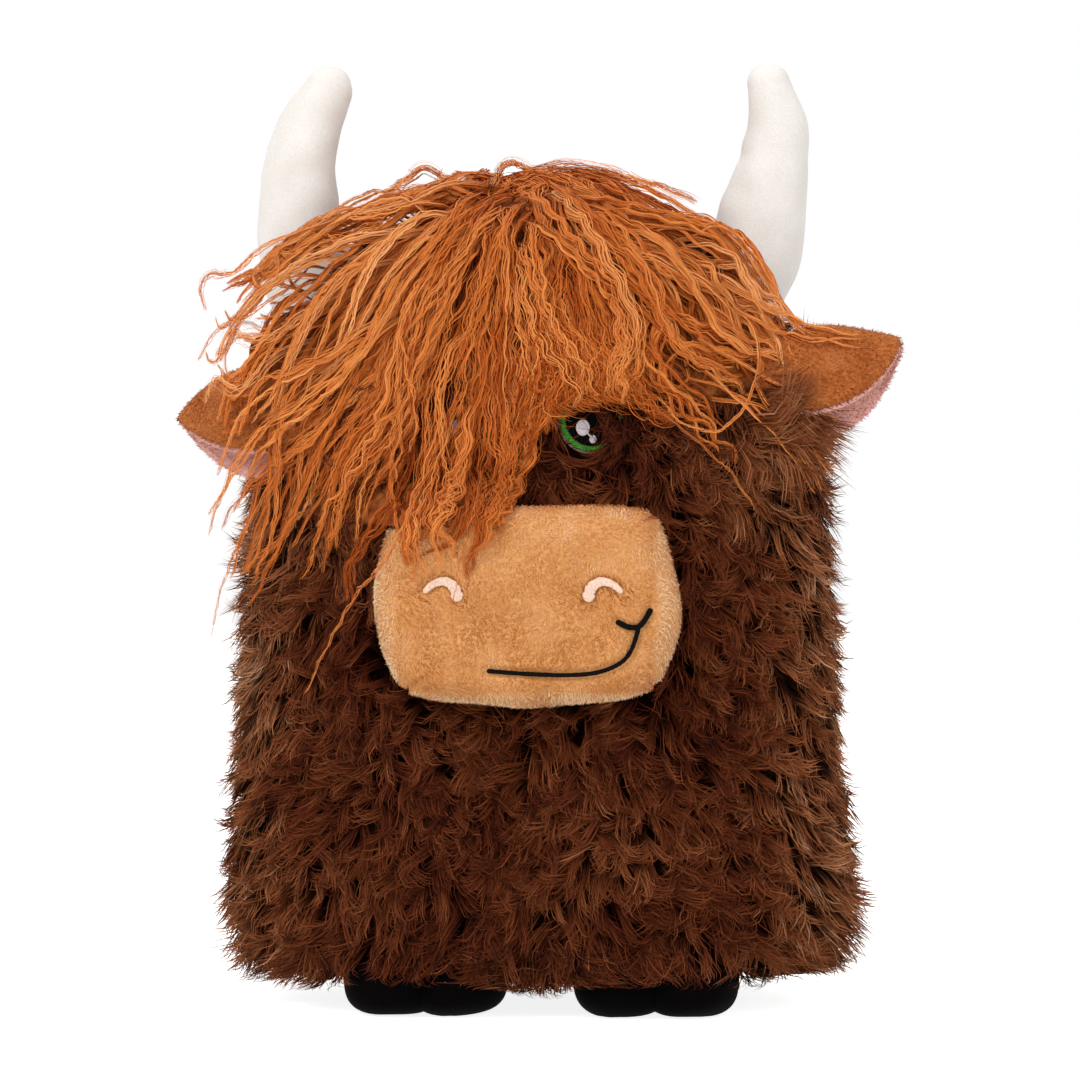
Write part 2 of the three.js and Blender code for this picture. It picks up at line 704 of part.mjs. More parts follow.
const uprightLevels = allLevels.slice(baseRows, baseRows + uprightRows + 1);
const panels = {
  front_panel: bodyPanel(uprightLevels, faceTurns(0), false),
  right_side_panel: bodyPanel(uprightLevels, sideTurns(quarter), false),
  back_panel: bodyPanel(uprightLevels, faceTurns(2 * quarter), false),
  left_side_panel: bodyPanel(uprightLevels, sideTurns(3 * quarter), false),
  crown_panel: bodyPanel(allLevels.slice(baseRows + uprightRows), allTurns, true),
  base_panel: bodyPanel(allLevels.slice(0, baseRows + 1), allTurns, true),
};
Object.entries(panels).forEach(([name, solid]) => addPiece(cow, name, solid, materials.brownFur));
addPiece(cow, 'body_stuffing', bodyBlock(-pileLayer - seamGap), materials.fibreFill);

const muzzleCover = muzzleBlock(0).subtract(muzzleBlock(muzzleCloth)).subtract(clearOfBody);
const muzzleFill = muzzleBlock(muzzleCloth + seamGap).subtract(clearOfBody);
addPiece(cow, 'muzzle_cover', muzzleCover, materials.tanPlush);
addPiece(cow, 'muzzle_stuffing', muzzleFill, materials.fibreFill);
addPiece(cow, 'smile', smile(), materials.blackThread);

const sides = { left: -1, right: 1 };
const floor = below(0);
Object.entries(sides).forEach(([side, sign]) => {
  addPiece(cow, `nostril_${side}`, nostril(sign), materials.pinkThread);

  const eye = eyeFrame(sign);
  addPiece(eye, `eye_${side}_patch`, plate(0, eyePatchRadius, seamGap, eyePatchThickness),
    materials.paleFelt);
  addPiece(eye, `eye_${side}_iris`,
    plate(irisRadius - irisWidth, irisRadius, eyeStitchBase, eyeStitchHeight),
    materials.greenThread);
  addPiece(eye, `eye_${side}_pupil`,
    plate(0, irisRadius - irisWidth - seamGap, eyeStitchBase, eyeStitchHeight),
    materials.blackThread);
  addPiece(eye, `eye_${side}_glint`, glint(), materials.whiteThread);
  cow.add(eye);

  const horn = hornBlock(side, sign, 0).subtract(hornBlock(side, sign, hornCloth));
  const hornFill = hornBlock(side, sign, hornCloth + seamGap);
  addPiece(cow, `horn_${side}_cover`, horn.subtract(clearOfBody), materials.whitePlush);
  addPiece(cow, `horn_${side}_stuffing`, hornFill.subtract(clearOfBody), materials.fibreFill);

  const ear = earFrame(side, sign);
  ear.name = `ear_${side}`;
  addPiece(ear, `ear_${side}_outer`, earOuter(side, sign), materials.rustPlush);
  addPiece(ear, `ear_${side}_lining`, earInner(side, sign), materials.pinkPlush);
  cow.add(ear);

  Object.entries({ front: -hoofSetback, rear: hoofSetback }).forEach(([end, y]) => {
    const x = sign * hoofSpread[side];
    const hoof = toesBlock(x, y, 0).subtract(toesBlock(x, y, hoofCloth));
    const hoofFill = toesBlock(x, y, hoofCloth + seamGap);
    const trim = (solid) => solid.subtract(clearOfBody).subtract(floor);
    addPiece(cow, `hoof_${end}_${side}_cover`, trim(hoof), materials.blackPlush);
    addPiece(cow, `hoof_${end}_${side}_stuffing`, trim(hoofFill), materials.fibreFill);
  });
});

const hornsGrown = Object.entries(sides).map(([side, sign]) => hornBlock(side, sign, -seamGap));
const hair = [clearOfBody, ...hornsGrown].reduce((solid, cut) => solid.subtract(cut), forelock());
addPiece(cow, 'forelock', hair, materials.gingerFur);

const tail = new THREE.Group();
const tailHeight = heightUp(tailRootShare);
tail.position.set(0, faceDepth(0, tailHeight) + seamGap + tailRadius, tailHeight);
tail.rotation.x = degrees(tailRestDegrees);
tail.name = 'tail';
const tuft = new THREE.Group();
tuft.position.z = -(tailLength + seamGap + tuftNeckRadius);
tuft.name = 'tuft';
addPiece(tail, 'tail_tube', tailTube(), materials.brownFur);
addPiece(tuft, 'tail_tuft', tailTuft(), materials.gingerFur);
tail.add(tuft);
cow.add(tail);

// The origin is on the floor, half way between the front of the muzzle and the back of the tuft
const tuftDrop = -tuft.position.z + tuftLength * tuftProfileShares[1][1];
const backReach = tail.position.y + tuftDrop * Math.sin(tail.rotation.x) + tuftRadius * tuftDepthShare;
const frontReach = muzzleFace + muzzleReach;
const toy = new THREE.Group();
cow.position.y = (frontReach - backReach) / 2;
toy.add(cow);

export default toy;
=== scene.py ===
import bmesh
import bpy
import numpy as np
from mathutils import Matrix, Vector


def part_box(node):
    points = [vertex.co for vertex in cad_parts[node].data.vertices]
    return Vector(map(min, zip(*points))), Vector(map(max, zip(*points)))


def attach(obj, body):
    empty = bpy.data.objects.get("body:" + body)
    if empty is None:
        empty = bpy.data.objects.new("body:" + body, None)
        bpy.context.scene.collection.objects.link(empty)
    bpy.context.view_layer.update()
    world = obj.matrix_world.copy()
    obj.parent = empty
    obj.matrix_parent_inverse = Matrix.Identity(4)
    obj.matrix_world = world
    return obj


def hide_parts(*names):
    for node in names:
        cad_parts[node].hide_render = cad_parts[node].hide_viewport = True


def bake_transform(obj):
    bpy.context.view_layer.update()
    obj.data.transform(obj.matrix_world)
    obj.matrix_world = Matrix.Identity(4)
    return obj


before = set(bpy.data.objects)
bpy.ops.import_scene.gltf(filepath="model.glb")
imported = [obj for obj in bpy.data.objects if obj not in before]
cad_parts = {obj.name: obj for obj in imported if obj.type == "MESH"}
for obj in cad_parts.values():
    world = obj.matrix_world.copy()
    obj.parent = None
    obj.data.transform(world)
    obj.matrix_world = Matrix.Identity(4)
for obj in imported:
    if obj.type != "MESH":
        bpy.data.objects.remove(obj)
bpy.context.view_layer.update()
scene = bpy.context.scene
mm = 0.001
sides = {"left": -1, "right": 1}  # as seen by someone who faces the toy
stuffingLow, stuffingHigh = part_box("body_stuffing")
toyMiddle = np.array([0, (stuffingLow.y + stuffingHigh.y) / 2, 0])  # the toy stands behind the row's origin
print("frame loaded")


# Camera: eye = target + distance * (sin az cos el, -cos az cos el, sin el), looking at the target
view = {"azimuth": 3.5, "elevation": 1.0, "distance": 1.75, "angle": 13.323, "target": (0, 0, 0.1745)}

azimuth, elevation = np.radians([view["azimuth"], view["elevation"]])
way = Vector((
    np.sin(azimuth) * np.cos(elevation),
    -np.cos(azimuth) * np.cos(elevation),
    np.sin(elevation),
))
lens = bpy.data.cameras.new("camera")
lens.sensor_fit = "HORIZONTAL"
lens.angle = np.radians(view["angle"])
lens.clip_start = 0.05
cameraObject = bpy.data.objects.new("camera", lens)
scene.collection.objects.link(cameraObject)
cameraObject.location = Vector(view["target"]) + view["distance"] * way
cameraObject.rotation_euler = way.to_track_quat("Z", "Y").to_euler()
scene.camera = cameraObject
scene.view_settings.view_transform = "Standard"
print("camera placed")


# Nodes, colours and small sums that every piece uses

# An sRGB hex colour as linear red, green, blue and alpha
def toLinear(hexColour):
    parts = np.array([int(hexColour[at:at + 2], 16) for at in (1, 3, 5)]) / 255
    linear = np.where(parts <= 0.04045, parts / 12.92, ((parts + 0.055) / 1.055) ** 2.4)
    return (*linear.tolist(), 1.0)


# Adds a node, sets its sockets or properties, and links its inputs to the sources given
def addNode(tree, kind, settings=None, links=None):
    node = tree.nodes.new(kind)
    for key, value in (settings or {}).items():
        if key == "stops":
            while len(node.color_ramp.elements) < len(value):
                node.color_ramp.elements.new(1)
            for element, (place, colour) in zip(node.color_ramp.elements, value):
                element.position = place
                element.color = toLinear(colour)
        elif isinstance(key, int) or key in node.inputs:
            node.inputs[key].default_value = value
        else:
            setattr(node, key, value)
    for key, source in (links or {}).items():
        tree.links.new(source, node.inputs[key])
    return node


# A material with its node tree and its shader, whose uniform numbers are set on the sockets
def newMaterial(name, settings):
    material = bpy.data.materials.new(name)
    material.use_nodes = True
    tree = material.node_tree
    shader = tree.nodes["Principled BSDF"]
    for key, value in settings.items():
        shader.inputs[key].default_value = value
    return material, tree, shader


# Vectors divided by their length
def unit(vectors):
    return vectors / np.maximum(np.linalg.norm(vectors, axis=-1, keepdims=True), 1e-9)


# 3u^2 - 2u^3, where u runs from 0 to 1 between two values
def easeBetween(values, low, high):
    share = np.clip((values - low) / (high - low), 0, 1)
    return share * share * (3 - 2 * share)


# Sum of six sine waves of seeded direction and phase over places in mm, about -1 to 1
def waviness(places, wavelength, seed):
    draw = np.random.default_rng(seed)
    ways = unit(draw.normal(size=(6, 3))) * draw.uniform(0.7, 1.4, (6, 1)) * 2 * np.pi / wavelength
    phases = draw.uniform(0, 2 * np.pi, 6)
    return np.sin(places @ ways.T + phases).sum(-1) / 2.6


# The turns of a full circle in equal steps, its end left out
def circle(count):
    return np.linspace(0, 2 * np.pi, count, endpoint=False)


# Lengths added up one after the other, from 0
def addedUp(lengths):
    return np.concatenate([[0], np.cumsum(lengths)])


# Distance of each point of a path from its start, along it
def runAlong(path):
    return addedUp(np.linalg.norm(np.diff(path, axis=0), axis=1))


# A point of a smooth curve through rows of numbers: Catmull-Rom weights of the four nearest rows
def curveThrough(rows, shares):
    rows = np.asarray(rows, float)
    inner = rows.shape[1:]
    rows = rows.reshape(len(rows), -1)
    ends = np.concatenate([[2 * rows[0] - rows[1]], rows, [2 * rows[-1] - rows[-2]]])
    place = np.clip(shares, 0, 1) * (len(rows) - 1)
    index = np.minimum(place.astype(int), len(rows) - 2)
    t = (place - index)[..., None]
    a, b, c, d = (ends[index + step] for step in range(4))
    points = 0.5 * (2 * b + (c - a) * t + (2 * a - 5 * b + 4 * c - d) * t ** 2
                    + (3 * b - a - 3 * c + d) * t ** 3)
    return points.reshape(*np.shape(shares), *inner)


# A mesh object from a grid of points in mm; columns may close round, and equal points are merged
def gridPiece(name, grid, material, closedRound=True, extra=()):
    points, faces, total = [], [], 0
    for part in (grid, *extra):
        rows, columns = part.shape[:2]
        last = columns if closedRound else columns - 1
        row = np.arange(rows - 1)[:, None] * columns
        here, there = np.arange(last)[None], (np.arange(last)[None] + 1) % columns
        quads = np.stack([row + here, row + there, row + columns + there, row + columns + here], -1)
        faces.append(quads.reshape(-1, 4) + total)
        points.append(part.reshape(-1, 3))
        total += rows * columns
    mesh = bpy.data.meshes.new(name)
    mesh.from_pydata((np.concatenate(points) * mm + toyMiddle).tolist(), [], np.concatenate(faces).tolist())
    solid = bmesh.new()
    solid.from_mesh(mesh)
    bmesh.ops.remove_doubles(solid, verts=solid.verts, dist=1e-7)
    bmesh.ops.dissolve_degenerate(solid, edges=solid.edges, dist=1e-8)
    bmesh.ops.recalc_face_normals(solid, faces=solid.faces)
    solid.to_mesh(mesh)
    solid.free()
    mesh.shade_smooth()
    piece = bpy.data.objects.new(name, mesh)
    scene.collection.objects.link(piece)
    mesh.materials.append(material)
    return piece


# Draws the first and last rows of a grid together into points
def closeEnds(grid):
    grid[0] = grid[0].mean(0)
    grid[-1] = grid[-1].mean(0)
    return grid


# Puts a piece on its body, or bakes one that lies across an ear's seam in place, and hides the solids it
# stands for
def settle(piece, body, slot, *nodes):
    if isinstance(body, str):
        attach(piece, body)
    else:
        bendWithEar(piece, *body)
    if nodes:
        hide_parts(*nodes)
    return piece


# Bakes the place of a piece that lies on an ear into its mesh; it bends nothing, and the side and the two
# distances from the middle, in mm, are not used
def bendWithEar(piece, side, low, high):
    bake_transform(piece)


# Strands: flat ribbons of fibre, each in one of 256 columns of hue, its root at v 0 and its tip at v 1.
# A ribbon's edges are centre -+ side * width / 2, side = tangent x outward, rolled about the tangent
def strandPiece(name, paths, outward, width, hue, material, seed):
    draw = np.random.default_rng(seed)
    count, steps = paths.shape[:2]
    tangent = unit(np.gradient(paths, axis=1))
    across = unit(np.cross(tangent, outward))
    roll = draw.normal(0, 0.3, (count, 1, 1))
    side = across * np.cos(roll) + np.cross(tangent, across) * np.sin(roll)
    share = np.linspace(0, 1, steps)
    half = (width[:, None] / 2 * (1 - 0.7 * share ** 2.5))[..., None]
    edges = np.stack([paths - side * half, paths + side * half], 2)[:, :-1]
    points = np.concatenate([edges.reshape(count, -1, 3), paths[:, -1:]], 1)
    perStrand = points.shape[1]
    quads = (np.arange(steps - 2)[:, None] * 2 + np.array([0, 1, 3, 2])).ravel()
    corners = np.concatenate([quads, [perStrand - 3, perStrand - 2, perStrand - 1]])
    allCorners = (np.arange(count)[:, None] * perStrand + corners).ravel()
    starts = (np.arange(count)[:, None] * len(corners) + np.arange(steps - 1) * 4).ravel()
    mesh = bpy.data.meshes.new(name)
    mesh.vertices.add(count * perStrand)
    mesh.vertices.foreach_set("co", (points.reshape(-1, 3) * mm + toyMiddle).astype(np.float32).ravel())
    mesh.loops.add(len(allCorners))
    mesh.loops.foreach_set("vertex_index", allCorners.astype(np.int32))
    mesh.polygons.add(len(starts))
    mesh.polygons.foreach_set("loop_start", starts.astype(np.int32))
    column = np.floor(np.clip(hue, 0, 0.999) * 256)[:, None]
    sideShare = np.concatenate([np.tile([0.3, 0.7], steps - 1), [0.5]])
    along = np.concatenate([np.repeat(share[:-1], 2), [1]])
    rise = np.broadcast_to(0.005 + 0.99 * along, (count, perStrand))
    places = np.stack([(column + sideShare) / 256, rise], -1)
    layer = mesh.uv_layers.new(name="OFBake")
    layer.data.foreach_set("uv", places.reshape(-1, 2)[allCorners].astype(np.float32).ravel())
    mesh.update(calc_edges=True)
    mesh.shade_smooth()
    mesh.materials.append(material)
    piece = bpy.data.objects.new(name, mesh)
    scene.collection.objects.link(piece)
    print(name, "strands", count, "triangles", count * (2 * steps - 3))
    return piece


# Strands of locks: each keeps a place in its lock's round section, which turns slowly along it.
# path = centre + radius * (across * a + lifted * b), with a small wave of its own
def strandsOfLocks(centres, outward, radii, wanted, seed):
    draw = np.random.default_rng(seed)
    locks, steps = radii.shape
    tangent = unit(np.gradient(centres, axis=1))
    across = unit(np.cross(tangent, outward))
    lifted = np.cross(across, tangent)
    share = np.linspace(0, 1, steps)
    spin = draw.uniform(0, 2 * np.pi, (locks, wanted["strands"], 1))
    spin = spin + draw.normal(0, wanted["twist"], (locks, 1, 1)) * share
    reach = np.sqrt(draw.uniform(0, 1, (locks, wanted["strands"], 1)))
    stray = draw.uniform(0, 1, reach.shape) < wanted["strayShare"]
    reach = reach * np.where(stray, 1 + wanted["strayReach"] * share, 1)
    lengths = np.linalg.norm(np.diff(centres, axis=1), axis=2).sum(1)[:, None, None]
    frizz = wanted["frizz"] * np.minimum(1, 4 * share) * np.sin(
        2 * np.pi * share * lengths / draw.uniform(4, 9, reach.shape)
        + draw.uniform(0, 2 * np.pi, reach.shape))
    sideways = np.cos(spin) * reach * radii[:, None] + frizz
    outwards = np.sin(spin) * reach * radii[:, None] * wanted["flatness"] + frizz * 0.6
    paths = (centres[:, None] + across[:, None] * sideways[..., None]
             + lifted[:, None] * outwards[..., None])
    # each ribbon faces out of its own lock, so that a lock shades as a round cord
    facing = unit(0.8 * lifted[:, None] + across[:, None] * np.cos(spin)[..., None]
                  + lifted[:, None] * np.sin(spin)[..., None])
    return paths.reshape(-1, steps, 3), facing.reshape(-1, steps, 3), np.where(stray, 0.6, 1.0).ravel()


# Long fibre: the hue ramp runs over the strands, the shade ramp from the root's shadow to the bright tip
def fibreMaterial(name, hues, shades, roughness, sheen):
    material, tree, shader = newMaterial(name, {
        "Roughness": roughness, "Specular IOR Level": 0.04, "Sheen Weight": sheen, "Sheen Roughness": 0.4})
    place = addNode(tree, "ShaderNodeUVMap", {"uv_map": "OFBake"})
    parts = addNode(tree, "ShaderNodeSeparateXYZ", links={0: place.outputs[0]})
    hue = addNode(tree, "ShaderNodeValToRGB", {"stops": hues}, {0: parts.outputs[0]})
    shade = addNode(tree, "ShaderNodeValToRGB", {"stops": shades}, {0: parts.outputs[1]})
    colour = addNode(tree, "ShaderNodeMix", {"data_type": "RGBA", "blend_type": "MULTIPLY", 0: 1.0},
                     {6: hue.outputs[0], 7: shade.outputs[0]})
    tree.links.new(colour.outputs[2], shader.inputs["Base Color"])
    return material


# Floor and light

light = {
    "worldStrength": 0.62, "aim": (0, 0, 0.17),
    "key": {"at": (-0.9, -1.5, 1.5), "size": 1.1, "watts": 18.5},
    "fill": {"at": (1.3, -1.3, 0.7), "size": 1.5, "watts": 6.5},
    "top": {"at": (0.1, 0.5, 1.7), "size": 1.2, "watts": 7},
    "floorPaint": "#f4f3f1", "floorGlow": 0.86,
}


# 1 for rays that come from the camera and for glossy ones, 0 for the rest
def seenDirectly(tree, ray):
    return addNode(tree, "ShaderNodeMath", {"operation": "MAXIMUM"},
                   {0: ray.outputs["Is Camera Ray"], 1: ray.outputs["Is Glossy Ray"]})


# Studio paper: matt and pale; the camera sees it nearly white, with the toy's shadow still on it
def paperMaterial():
    material, tree, shader = newMaterial("matt_studio_paper", {
        "Base Color": toLinear(light["floorPaint"]), "Roughness": 0.9, "Specular IOR Level": 0.1})
    ray = addNode(tree, "ShaderNodeLightPath")
    seen = seenDirectly(tree, ray)
    glow = addNode(tree, "ShaderNodeEmission", {"Strength": light["floorGlow"]})
    both = addNode(tree, "ShaderNodeAddShader", links={0: shader.outputs[0], 1: glow.outputs[0]})
    mixed = addNode(tree, "ShaderNodeMixShader", links={
        0: seen.outputs[0], 1: shader.outputs[0], 2: both.outputs[0]})
    tree.links.new(mixed.outputs[0], tree.nodes["Material Output"].inputs[0])
    return material


# A round floor of paper: points = radius * (cos turn, sin turn), radius growing from the middle
def makeFloor():
    turns = circle(64)
    radii = np.array([0, 300, 1000, 4000])
    level = np.zeros((len(radii), len(turns)))
    grid = np.stack([radii[:, None] * np.cos(turns), radii[:, None] * np.sin(turns), level], -1)
    floor = gridPiece("floor", grid, paperMaterial())


# An even sky, which is plain white where it is seen directly, and three round lamps that face the toy
def makeLights():
    world = bpy.data.worlds.new("studio")
    scene.world = world
    world.use_nodes = True
    tree = world.node_tree
    back = tree.nodes["Background"]
    back.inputs["Strength"].default_value = light["worldStrength"]
    back.inputs["Color"].default_value = (1, 1, 1, 1)
    white = addNode(tree, "ShaderNodeBackground", {"Strength": 1.0, "Color": (1, 1, 1, 1)})
    ray = addNode(tree, "ShaderNodeLightPath")
    seen = addNode(tree, "ShaderNodeMath", {"operation": "MAXIMUM"},
                   {0: seenDirectly(tree, ray).outputs[0], 1: ray.outputs["Is Transmission Ray"]})
    mixed = addNode(tree, "ShaderNodeMixShader", links={
        0: seen.outputs[0], 1: back.outputs[0], 2: white.outputs[0]})
    tree.links.new(mixed.outputs[0], tree.nodes["World Output"].inputs[0])
    for name in ("key", "fill", "top"):
        wanted = light[name]
        lamp = bpy.data.lights.new(name, "AREA")
        lamp.shape = "DISK"
        lamp.size = wanted["size"]
        lamp.energy = wanted["watts"]
        holder = bpy.data.objects.new(name, lamp)
        scene.collection.objects.link(holder)
        holder.location = wanted["at"]
        towards = Vector(light["aim"]) - holder.location
        holder.rotation_euler = towards.to_track_quat("-Z", "Y").to_euler()


makeFloor()
makeLights()
print("floor and lights placed")


# Body: a loaf whose cross-section is a squared ellipse, under its pile

body = {
    "width": 233, "depth": 150, "height": 296, "clearance": 11.5, "squareness": 2.8,
    "paddingInset": 8.5,  # the stuffed cloth lies this deep in the pile
    "levels": [  # height, width and depth shares
        [0, 0, 0], [0, 0.79, 0.77], [0.013, 0.88, 0.865], [0.043, 0.955, 0.95], [0.096, 1, 1],
        [0.234, 0.982, 0.985], [0.465, 0.958, 0.96], [0.647, 0.93, 0.925], [0.762, 0.885, 0.875],
        [0.845, 0.825, 0.815], [0.904, 0.745, 0.735], [0.95, 0.6, 0.6], [0.98, 0.4, 0.41],
        [0.995, 0.2, 0.2], [1, 0, 0],
    ],
}
levels = np.array(body["levels"])
profile = levels * [body["height"], body["width"] / 2, 0]
levelPlaces = runAlong(profile)
levelPlaces /= levelPlaces[-1]


# |value|^(2 / squareness) with the sign kept
def squared(value, squareness):
    return np.sign(value) * np.abs(value) ** (2 / squareness)


# Body skin: x = half width * sq(sin turn), y = -half depth * sq(cos turn), z by level, all grown by outset
def skinPoint(place, turn, outset):
    def grown(size, shares):
        return np.interp(place, levelPlaces, np.where(shares > 0, size / 2 * shares + outset, 0))

    up = np.interp(place, levelPlaces, levels[:, 0])
    return np.stack(np.broadcast_arrays(
        grown(body["width"], levels[:, 1]) * squared(np.sin(turn), body["squareness"]),
        -grown(body["depth"], levels[:, 2]) * squared(np.cos(turn), body["squareness"]),
        body["clearance"] - outset + (body["height"] + 2 * outset) * up), -1)


# The skin's outward direction: (skin across the turn) x (skin up the profile)
def skinNormal(place, turn, outset):
    low, high = np.clip(place - 0.012, 0, 1), np.clip(place + 0.012, 0, 1)
    along = skinPoint(high, turn, outset) - skinPoint(low, turn, outset)
    around = skinPoint(place, turn + 0.02, outset) - skinPoint(place, turn - 0.02, outset)
    return unit(np.cross(around, along))


# Half width and half depth of the grown body at a height in mm
def bodyHalves(height, outset):
    share = (height - body["clearance"] + outset) / (body["height"] + 2 * outset)
    inside = (share > 0) & (share < 1)
    halves = [np.where(inside, np.interp(share, levels[1:, 0], levels[1:, column]) * size / 2 + outset, 0)
              for column, size in ((1, body["width"]), (2, body["depth"]))]
    return halves


# Cloth or thread: noise as fine as its fibre runs through two colours and raises the surface; a
# stroked pile has a broader noise of its patches mixed into the colour
def clothMaterial(name, dark, light, settings, grain, detail, strength, rise, stroked=False):
    material, tree, shader = newMaterial(name, settings)
    place = {"Vector": addNode(tree, "ShaderNodeTexCoord").outputs["Object"]}
    fine = addNode(tree, "ShaderNodeTexNoise", {"Scale": grain, "Detail": detail}, place)
    spots, stops = fine, [(0.35, dark), (0.65, light)]
    if stroked:
        broad = addNode(tree, "ShaderNodeTexNoise", {"Scale": 70.0, "Detail": 2.0}, place)
        spots = addNode(tree, "ShaderNodeMix", {"data_type": "FLOAT", 0: 0.4},
                        {2: fine.outputs[0], 3: broad.outputs[0]})
        stops = [(0.36, dark), (0.64, light)]
    ramp = addNode(tree, "ShaderNodeValToRGB", {"stops": stops}, {0: spots.outputs[0]})
    tree.links.new(ramp.outputs[0], shader.inputs["Base Color"])
    bump = addNode(tree, "ShaderNodeBump", {"Strength": strength, "Distance": rise},
                   {"Height": fine.outputs[0]})
    tree.links.new(bump.outputs[0], shader.inputs["Normal"])
    return material


# Dark backing cloth: matt woven polyester with a short dense pile, nearly hidden
def backingMaterial(name, dark, light):
    return clothMaterial(name, dark, light, {"Roughness": 0.95, "Specular IOR Level": 0.1},
                         260.0, 4.0, 0.6, 0.001)


def makeBody():
    places = np.linspace(0, 1, 90)[:, None]
    grid = closeEnds(skinPoint(places, circle(120)[None], -body["paddingInset"]))
    piece = gridPiece("body_padding", grid, backingMaterial("brown_fur_backing", "#241009", "#3a1d12"))
    settle(piece, "body", "brown_fur", "body_stuffing")


makeBody()
print("body made")


# Muzzle shape, used by the fur, the locks and the stitches

muzzle = {
    "width": 109, "height": 71, "reach": 34, "middle": 152.1, "face": 71.85, "squareness": 5,
    "levels": [[-0.35, 0.92], [0, 0.94], [0.3, 1], [0.6, 0.985], [0.8, 0.92], [0.92, 0.82],
               [0.975, 0.64], [0.995, 0.34], [1, 0]],
    "corners": [(0.836, 0.92), (-0.882, 0.829), (-0.803, -0.859), (0.856, -0.799)],
    "bowPowers": (3.2, 2, 3.2, 2),
    "dartDepth": 2.1, "dartWidth": 1.4, "grooveDepth": 0.9,
    "rows": 104, "columns": 288,
    "nap": {"fibres": 36000, "length": 1.9, "width": 0.33, "way": np.array([0.1, 0, -0.5]), "scatter": 0.45,
            "swirl": 0.7, "lean": (48, 78), "patch": 16, "hueSpread": 0.08},
}
eyes = {
    "spread": 22.8, "height": 219.2, "patchRadius": 12.6, "patchThick": 1.0, "radius": 11.8,
    "ring": 2.1, "stitch": 0.8, "gap": 0.3,
    "glints": [(-0.28, -0.25, 0.215), (0.03, -0.61, 0.11)], "glintTall": 1.2,  # across, up and radius
    "clear": 7.4, "clearLowerLeft": 4.4, "clearFrom": (20, 13), "clearFront": -30,
}
horns = {
    "height": 105, "topRise": 47, "radius": 18,  # rows: share of the way up, share out and radius share
    "left": {"root": -116.5 * 0.6525, "rows": [
        [0, 0, 0.97], [0.162, 0.081, 1], [0.305, 0.133, 0.945], [0.438, 0.149, 0.867],
        [0.619, 0.154, 0.756], [0.762, 0.118, 0.667], [0.908, 0.044, 0.53]]},
    "right": {"root": 116.5 * 0.567, "rows": [
        [0, 0, 0.97], [0.181, 0.081, 0.99], [0.333, 0.143, 0.972], [0.448, 0.167, 0.94],
        [0.53, 0.186, 0.844], [0.657, 0.211, 0.717], [0.766, 0.222, 0.628], [0.925, 0.19, 0.44]]},
}
hoofs = {"spread": {"left": 40, "right": 45.5}, "setback": 44, "toeWidth": 37, "toeSpacing": 24,
         "depth": 56, "height": 26, "soleCut": 0.5, "squareness": 2.7,
         "bareWidth": 28, "bareDepth": 25,  # no tuft grows this near the middle of a foot
         "clearFront": -35}  # strands in front of this are moved out over a foot


# Depth of the face in front of the middle: the skin's squared ellipse solved for y, flat past a share
def faceDepth(x, height, outset=0.0, most=1.0):
    wide, deep = bodyHalves(height, outset)
    across = np.minimum(np.abs(x) / np.maximum(wide, 1), most) ** body["squareness"]
    return deep * np.clip(1 - across, 0, 1) ** (1 / body["squareness"])


# How far out a place lies on the muzzle: 1 at its outline, by the squared ellipse
def muzzleSize(x, height):
    return ((np.abs(x) / (muzzle["width"] / 2)) ** muzzle["squareness"]
            + (np.abs(height - muzzle["middle"]) / (muzzle["height"] / 2)) ** muzzle["squareness"]
            ) ** (1 / muzzle["squareness"])


# A horn's axis, x = root + sign * height * out and z = top - height + height * rise, and its radius
def hornAxis(side, shares):
    rise, out, radius = curveThrough(horns[side]["rows"], shares).T
    top = body["clearance"] + body["height"] + horns["topRise"]
    x = horns[side]["root"] + sides[side] * horns["height"] * out
    z = top - horns["height"] + horns["height"] * rise
    return np.stack([x, np.zeros_like(x), z], -1), horns["radius"] * radius


# Brown fur: fine fibres that rise from the cloth, gather into pointed clumps and hook over

